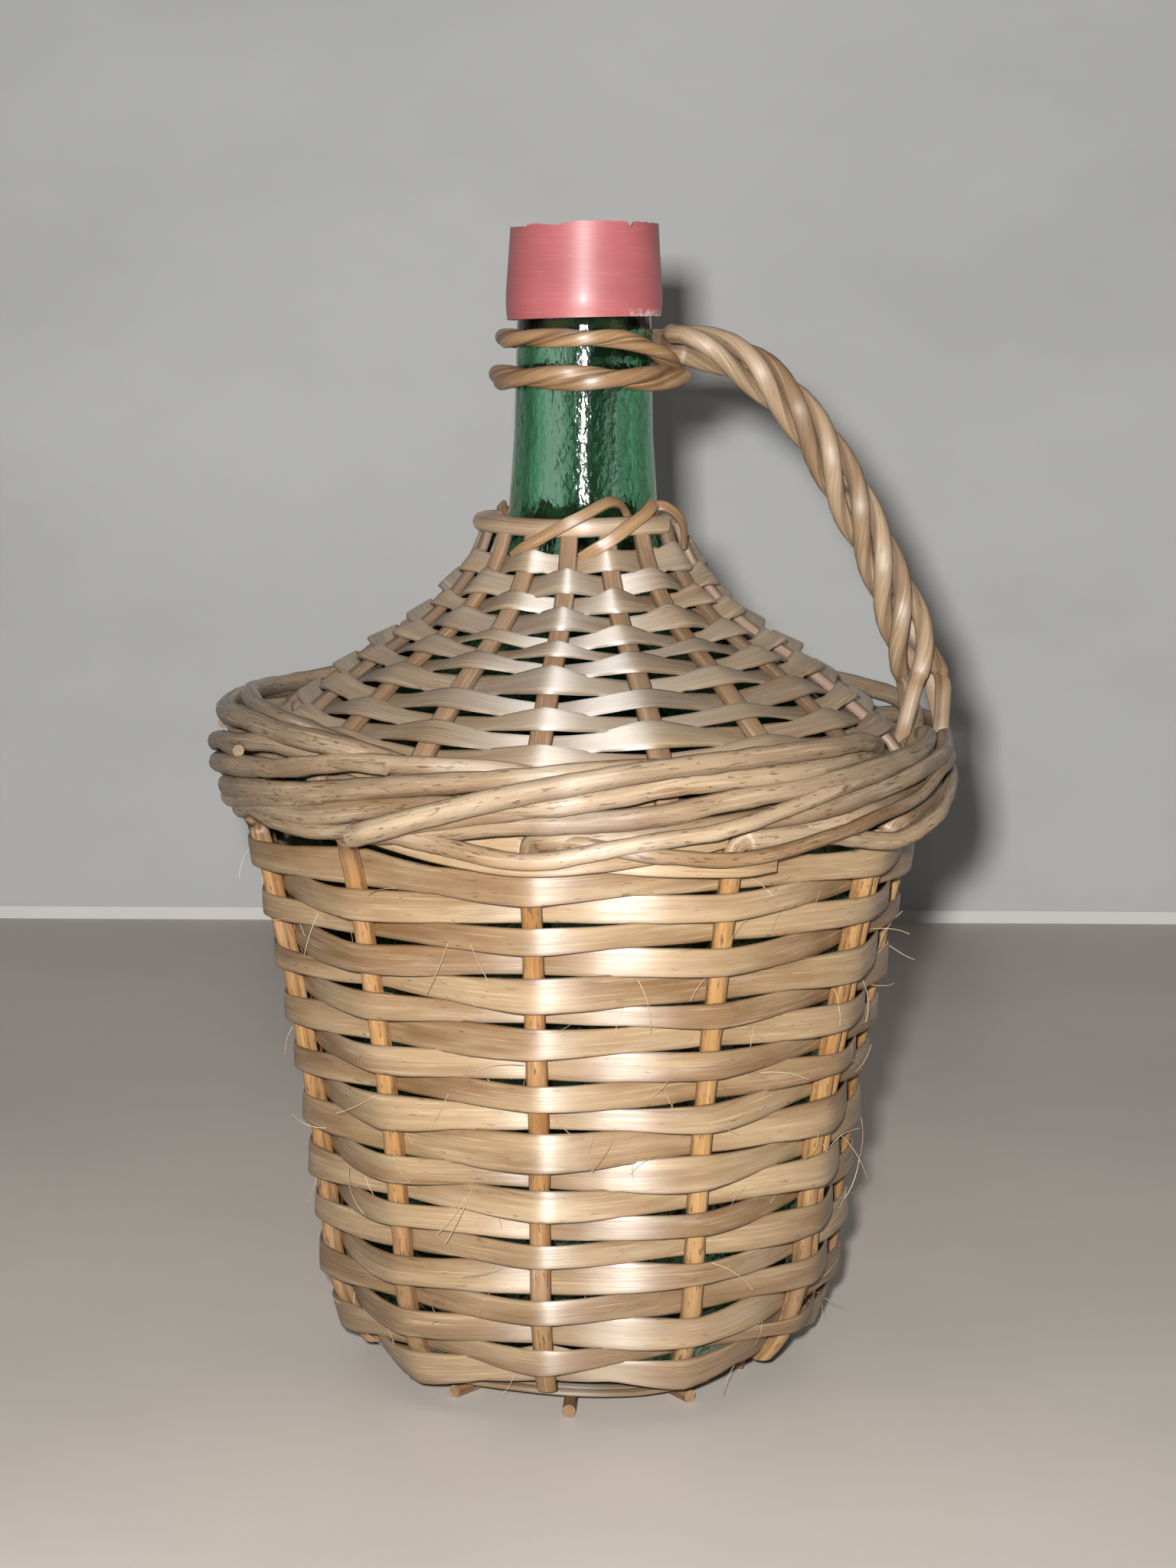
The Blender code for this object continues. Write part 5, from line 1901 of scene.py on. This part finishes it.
def handle_axis(start_radius):
    """The handle's axis from behind the neck to the border: its places, ways out, and run from the start."""
    line = handle_centre(start_radius)
    start = Vector((start_radius, 0.0, HANDLE_START_HEIGHT))
    root = [around_deg(*row) for row in HANDLE_ROOT]
    hidden = smooth_line([*root, start, start + Vector((0.006, 0.0, 0.0))], ROOT_RUNS)[: -ROOT_RUNS - 1]
    axis = []
    run = -sum((second - first).length for first, second in zip(hidden, [*hidden[1:], start]))
    for here, there in zip(hidden, [*hidden[1:], start]):
        axis.append((here, Vector((0.0, 0.0, -1.0)), (there - here).normalized(), run))
        run += (there - here).length
    for index in range(HANDLE_RUNS + 1):
        share = index / HANDLE_RUNS
        place = line.at(line.length * share)
        out = line.normal(line.length * share).lerp(Vector((-1.0, 0.0)), share**4)
        way = Vector((out.x, 0.0, out.y)).normalized()
        along = Vector((-way.z, 0.0, way.x))
        bow = HANDLE_SLACK * math.sin(math.pi * min(share / 0.8, 1.0))
        axis.append((Vector((place.x, 0.0, place.y)) + way * bow, way, along, line.length * share))
    return axis, line.length


def build_handle(look, weave, start_radius):
    """Four strands laid round each other, which spread where they go into the border."""
    axis, length = handle_axis(start_radius)
    lay = STRAND_RADIUS / math.sin(math.pi / STRAND_COUNT)
    stretch = math.hypot(1.0, 2.0 * math.pi * lay * STRAND_TURNS / length)
    lay = (STRAND_RADIUS * stretch + WEAVE_GAP / 2) / math.sin(math.pi / STRAND_COUNT)
    chance = random.Random(weave.seed + 8)
    strands = []
    for number in range(STRAND_COUNT):
        points = []
        outs = []
        halves = []
        for place, out, along, run in axis:
            share = run / length
            turn = 2.0 * math.pi * (STRAND_TURNS * share + number / STRAND_COUNT) + math.pi / 4
            pinch = max(0.0, 1.0 + run / HANDLE_PINCH_RUN) if run < 0.0 else 1.0
            reach = lay * 0.96 * (0.35 + 0.65 * pinch) + STRAND_SPLAY * max(share, 0.0) ** 4
            away = out * math.cos(turn) + along.cross(out) * math.sin(turn)
            points.append(place + away * reach)
            outs.append(away.normalized())
            halves.append(STRAND_RADIUS * (0.80 + 0.28 * pinch))
        foot = Vector(STRAND_FEET[number])
        tail = smooth_line([points[-FOOT_CUT], points[-4], points[-1].lerp(foot, 0.5), foot], 6)
        points = [*points[:-FOOT_CUT], *tail]
        outs = [*outs[:-FOOT_CUT], *[outs[-4]] * len(tail)]
        halves = [*halves[:-FOOT_CUT], *[STRAND_RADIUS * 0.95] * len(tail)]
        points = wandering(points, amount=0.0004, size=0.025, seed=number + 60)
        strands.append(Strand(points, outs, halves, chance.random()))
    finish = willow("handle_strand_willow", (look.handle_light, look.handle_dark, look.grey))
    piece = woven("handle_twist", strands, finish, sides=14, uneven=0.0005, uneven_size=0.009)
    show(piece, "demijohn", "handle_willow", *nodes_named("handle_strand_"))


def build_whiskers(weave):
    """Fibres on the sides' weave."""
    source = bpy.data.objects["body_weave_skeins"].data.copy()
    piece = grown(
        "loose_fibres",
        source,
        whisker_tree(),
        fibre_count_density=2000.0,
        fibre_length=0.015,
        fibre_radius=0.00012,
        seed=weave.seed + 9,
        finish=whisker_finish(),
    )
    show(piece, "demijohn", "flat_willow")


# Stage


def plane(name, corners, material):
    """A stage surface between four corners."""
    mesh = bpy.data.meshes.new(name)
    mesh.from_pydata(corners, [], [tuple(range(len(corners)))])
    mesh.materials.append(material)
    piece = bpy.data.objects.new(name, mesh)
    bpy.context.scene.collection.objects.link(piece)
    return piece


def standing(half_width, distance, height):
    """The corners of an upright surface across the stage, which stands on the floor."""
    low = [(-half_width, distance, 0.0), (half_width, distance, 0.0)]
    return [*low, (half_width, distance, height), (-half_width, distance, height)]


def lamp(name, power, size, place, aim, matt=False):
    """A square soft lamp that looks at its aim. A matt one is neither seen nor mirrored."""
    light = bpy.data.lights.new(name, "AREA")
    light.energy = power
    light.shape = "SQUARE"
    light.size = size
    light.color = LAMP_WHITE
    piece = bpy.data.objects.new(name, light)
    turn = (Vector(aim) - Vector(place)).to_track_quat("-Z", "Y")
    piece.matrix_world = Matrix.Translation(Vector(place)) @ turn.to_matrix().to_4x4()
    piece.visible_camera = not matt
    piece.visible_glossy = not matt
    piece.visible_transmission = not matt
    bpy.context.scene.collection.objects.link(piece)
    return piece


def build_stage(look):
    """A plain floor and backdrop, a soft key lamp by the camera, even fill and the photograph's view."""
    wide = STAGE_HALF
    bounce = look.bounce
    ground = plain_finish("floor_plain", look.floor_colour, 0.45, bounce, gloss=0.45, far=FAR_FLOOR_PAINTED_LIGHT)
    wall = plain_finish("backdrop_plain", look.wall_colour, 0.6, bounce, one_sided=True)
    pale = plain_finish("seam_plain", look.seam_colour, 0.6, bounce, one_sided=True)
    floor = [(-wide, -wide, 0.0), (wide, -wide, 0.0), (wide, wide, 0.0), (-wide, wide, 0.0)]
    unlit = [
        plane("floor", floor, ground),
        plane("backdrop", standing(wide, WALL_DISTANCE, wide), wall),
        plane("backdrop_seam", standing(wide, WALL_DISTANCE - SEAM_OUT, SEAM_HEIGHT), pale),
    ]

    lamp("key", look.key_power, look.key_size, KEY_PLACE, KEY_AIM)
    lamp("top", look.top_power, TOP_SIZE, TOP_PLACE, TOP_AIM)
    back = lamp("back", look.back_power, BACK_SIZE, BACK_PLACE, BACK_AIM, matt=True)
    spared = bpy.data.collections.new("spared_by_back_lamp")
    for index, piece in enumerate(unlit):
        spared.objects.link(piece)
        spared.collection_objects[index].light_linking.link_state = "EXCLUDE"
    back.light_linking.receiver_collection = spared

    world = bpy.data.worlds.new("fill")
    world.use_nodes = True
    sky = Tree(world.node_tree)
    light = world.node_tree.nodes["Background"]
    light.inputs["Color"].default_value = SKY_WHITE
    seen = sky.add("ShaderNodeLightPath").outputs["Is Camera Ray"]
    strength = sky.add("ShaderNodeMapRange", seen, 0.0, 1.0, look.fill, look.backdrop)
    sky.put(light.inputs["Strength"], strength.outputs[0])
    bpy.context.scene.world = world
    bpy.context.scene.view_settings.view_transform = "Standard"

    lens = bpy.data.cameras.new("camera")
    lens.sensor_width = SENSOR
    lens.lens = FOCAL_PX * SENSOR / PHOTO_HEIGHT_PX
    lens.clip_start = 0.01
    camera = bpy.data.objects.new("camera", lens)
    tilt = Matrix.Rotation(math.radians(90.0 + CAMERA_PITCH_DEG), 4, "X")
    roll = Matrix.Rotation(math.radians(CAMERA_ROLL_DEG), 4, "Z")
    camera.matrix_world = Matrix.Translation(Vector(CAMERA_PLACE)) @ tilt @ roll
    bpy.context.scene.collection.objects.link(camera)
    bpy.context.scene.camera = camera


# Operators


def basket(context):
    """The settings that every willow piece takes: colours and weave."""
    return context.scene.demijohn_willow, context.scene.demijohn_weave


class DEMIJOHN_OT_glass(Operator):
    """Turn the green glass bottle"""

    bl_idname = "demijohn.glass"
    bl_label = "Glass bottle"

    def execute(self, context):
        build_glass(context.scene.demijohn_glass)
        return {"FINISHED"}


class DEMIJOHN_OT_cap(Operator):
    """Make the red cap with its cut rim"""

    bl_idname = "demijohn.cap"
    bl_label = "Red cap"

    def execute(self, context):
        build_cap(context.scene.demijohn_cap, context.scene.demijohn_glass.turn_steps)
        return {"FINISHED"}


class DEMIJOHN_OT_cork(Operator):
    """Turn the stained cork"""

    bl_idname = "demijohn.cork"
    bl_label = "Cork"

    def execute(self, context):
        build_cork(context.scene.demijohn_glass.turn_steps)
        return {"FINISHED"}


class DEMIJOHN_OT_base(Operator):
    """Lay the base sticks, finish the hub and wind the mat over them"""

    bl_idname = "demijohn.base"
    bl_label = "Base"

    def execute(self, context):
        build_base(*basket(context))
        return {"FINISHED"}


class DEMIJOHN_OT_stakes(Operator):
    """Grow the stakes and the border that they make"""

    bl_idname = "demijohn.stakes"
    bl_label = "Stakes and border"

    def execute(self, context):
        build_stakes(*basket(context))
        return {"FINISHED"}


class DEMIJOHN_OT_body_weave(Operator):
    """Weave the skeins of the sides, up to the border"""

    bl_idname = "demijohn.body_weave"
    bl_label = "Body weave"

    def execute(self, context):
        build_body_weave(*basket(context))
        build_border_skeins(*basket(context))
        return {"FINISHED"}


class DEMIJOHN_OT_shoulder(Operator):
    """Lay the split ribs and weave the cone over the shoulder"""

    bl_idname = "demijohn.shoulder"
    bl_label = "Shoulder ribs and weave"

    def execute(self, context):
        build_ribs(*basket(context))
        build_shoulder_weave(*basket(context))
        return {"FINISHED"}


class DEMIJOHN_OT_collar(Operator):
    """Bend the collar rod and loop the skeins over it"""

    bl_idname = "demijohn.collar"
    bl_label = "Collar"

    def execute(self, context):
        build_collar(*basket(context))
        return {"FINISHED"}


class DEMIJOHN_OT_handle(Operator):
    """Twist the neck loops and the four strands of the handle"""

    bl_idname = "demijohn.handle"
    bl_label = "Neck loops and handle"

    def execute(self, context):
        edge = build_neck_rings(*basket(context))
        build_handle(*basket(context), edge + WEAVE_GAP)
        return {"FINISHED"}


class DEMIJOHN_OT_fibres(Operator):
    """Scatter the loose fibres over the sides"""

    bl_idname = "demijohn.fibres"
    bl_label = "Loose fibres"

    def execute(self, context):
        build_whiskers(context.scene.demijohn_weave)
        return {"FINISHED"}


class DEMIJOHN_OT_stage(Operator):
    """Set up the floor, backdrop, lamps and camera"""

    bl_idname = "demijohn.stage"
    bl_label = "Stage"

    def execute(self, context):
        build_stage(context.scene.demijohn_stage)
        return {"FINISHED"}


OPERATORS = (
    DEMIJOHN_OT_stage,
    DEMIJOHN_OT_glass,
    DEMIJOHN_OT_cap,
    DEMIJOHN_OT_cork,
    DEMIJOHN_OT_base,
    DEMIJOHN_OT_stakes,
    DEMIJOHN_OT_body_weave,
    DEMIJOHN_OT_shoulder,
    DEMIJOHN_OT_collar,
    DEMIJOHN_OT_handle,
    DEMIJOHN_OT_fibres,
)

SETTINGS = {
    "demijohn_glass": GlassSettings,
    "demijohn_cap": CapSettings,
    "demijohn_weave": WeaveSettings,
    "demijohn_willow": WillowSettings,
    "demijohn_stage": StageSettings,
}


class DEMIJOHN_PT_panel(Panel):
    """The demijohn's pieces, with their sizes and colours"""

    bl_idname = "DEMIJOHN_PT_panel"
    bl_label = "Wicker demijohn"
    bl_space_type = "VIEW_3D"
    bl_region_type = "UI"
    bl_category = "Demijohn"

    def draw(self, context):
        for operator in OPERATORS:
            self.layout.operator(operator.bl_idname)
        for name, group in SETTINGS.items():
            box = self.layout.box()
            for label in group.__annotations__:
                box.prop(getattr(context.scene, name), label)


def register():
    for group in SETTINGS.values():
        bpy.utils.register_class(group)
    for name, group in SETTINGS.items():
        setattr(bpy.types.Scene, name, PointerProperty(type=group))
    for operator in OPERATORS:
        bpy.utils.register_class(operator)
    bpy.utils.register_class(DEMIJOHN_PT_panel)


def unregister():
    bpy.utils.unregister_class(DEMIJOHN_PT_panel)
    for operator in reversed(OPERATORS):
        bpy.utils.unregister_class(operator)
    for name, group in reversed(SETTINGS.items()):
        delattr(bpy.types.Scene, name)
        bpy.utils.unregister_class(group)


def main():
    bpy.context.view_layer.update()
    register()
    for operator in OPERATORS:
        area, name = operator.bl_idname.split(".")
        getattr(getattr(bpy.ops, area), name)()
    bpy.context.view_layer.update()


if __name__ == "__main__":
    main()
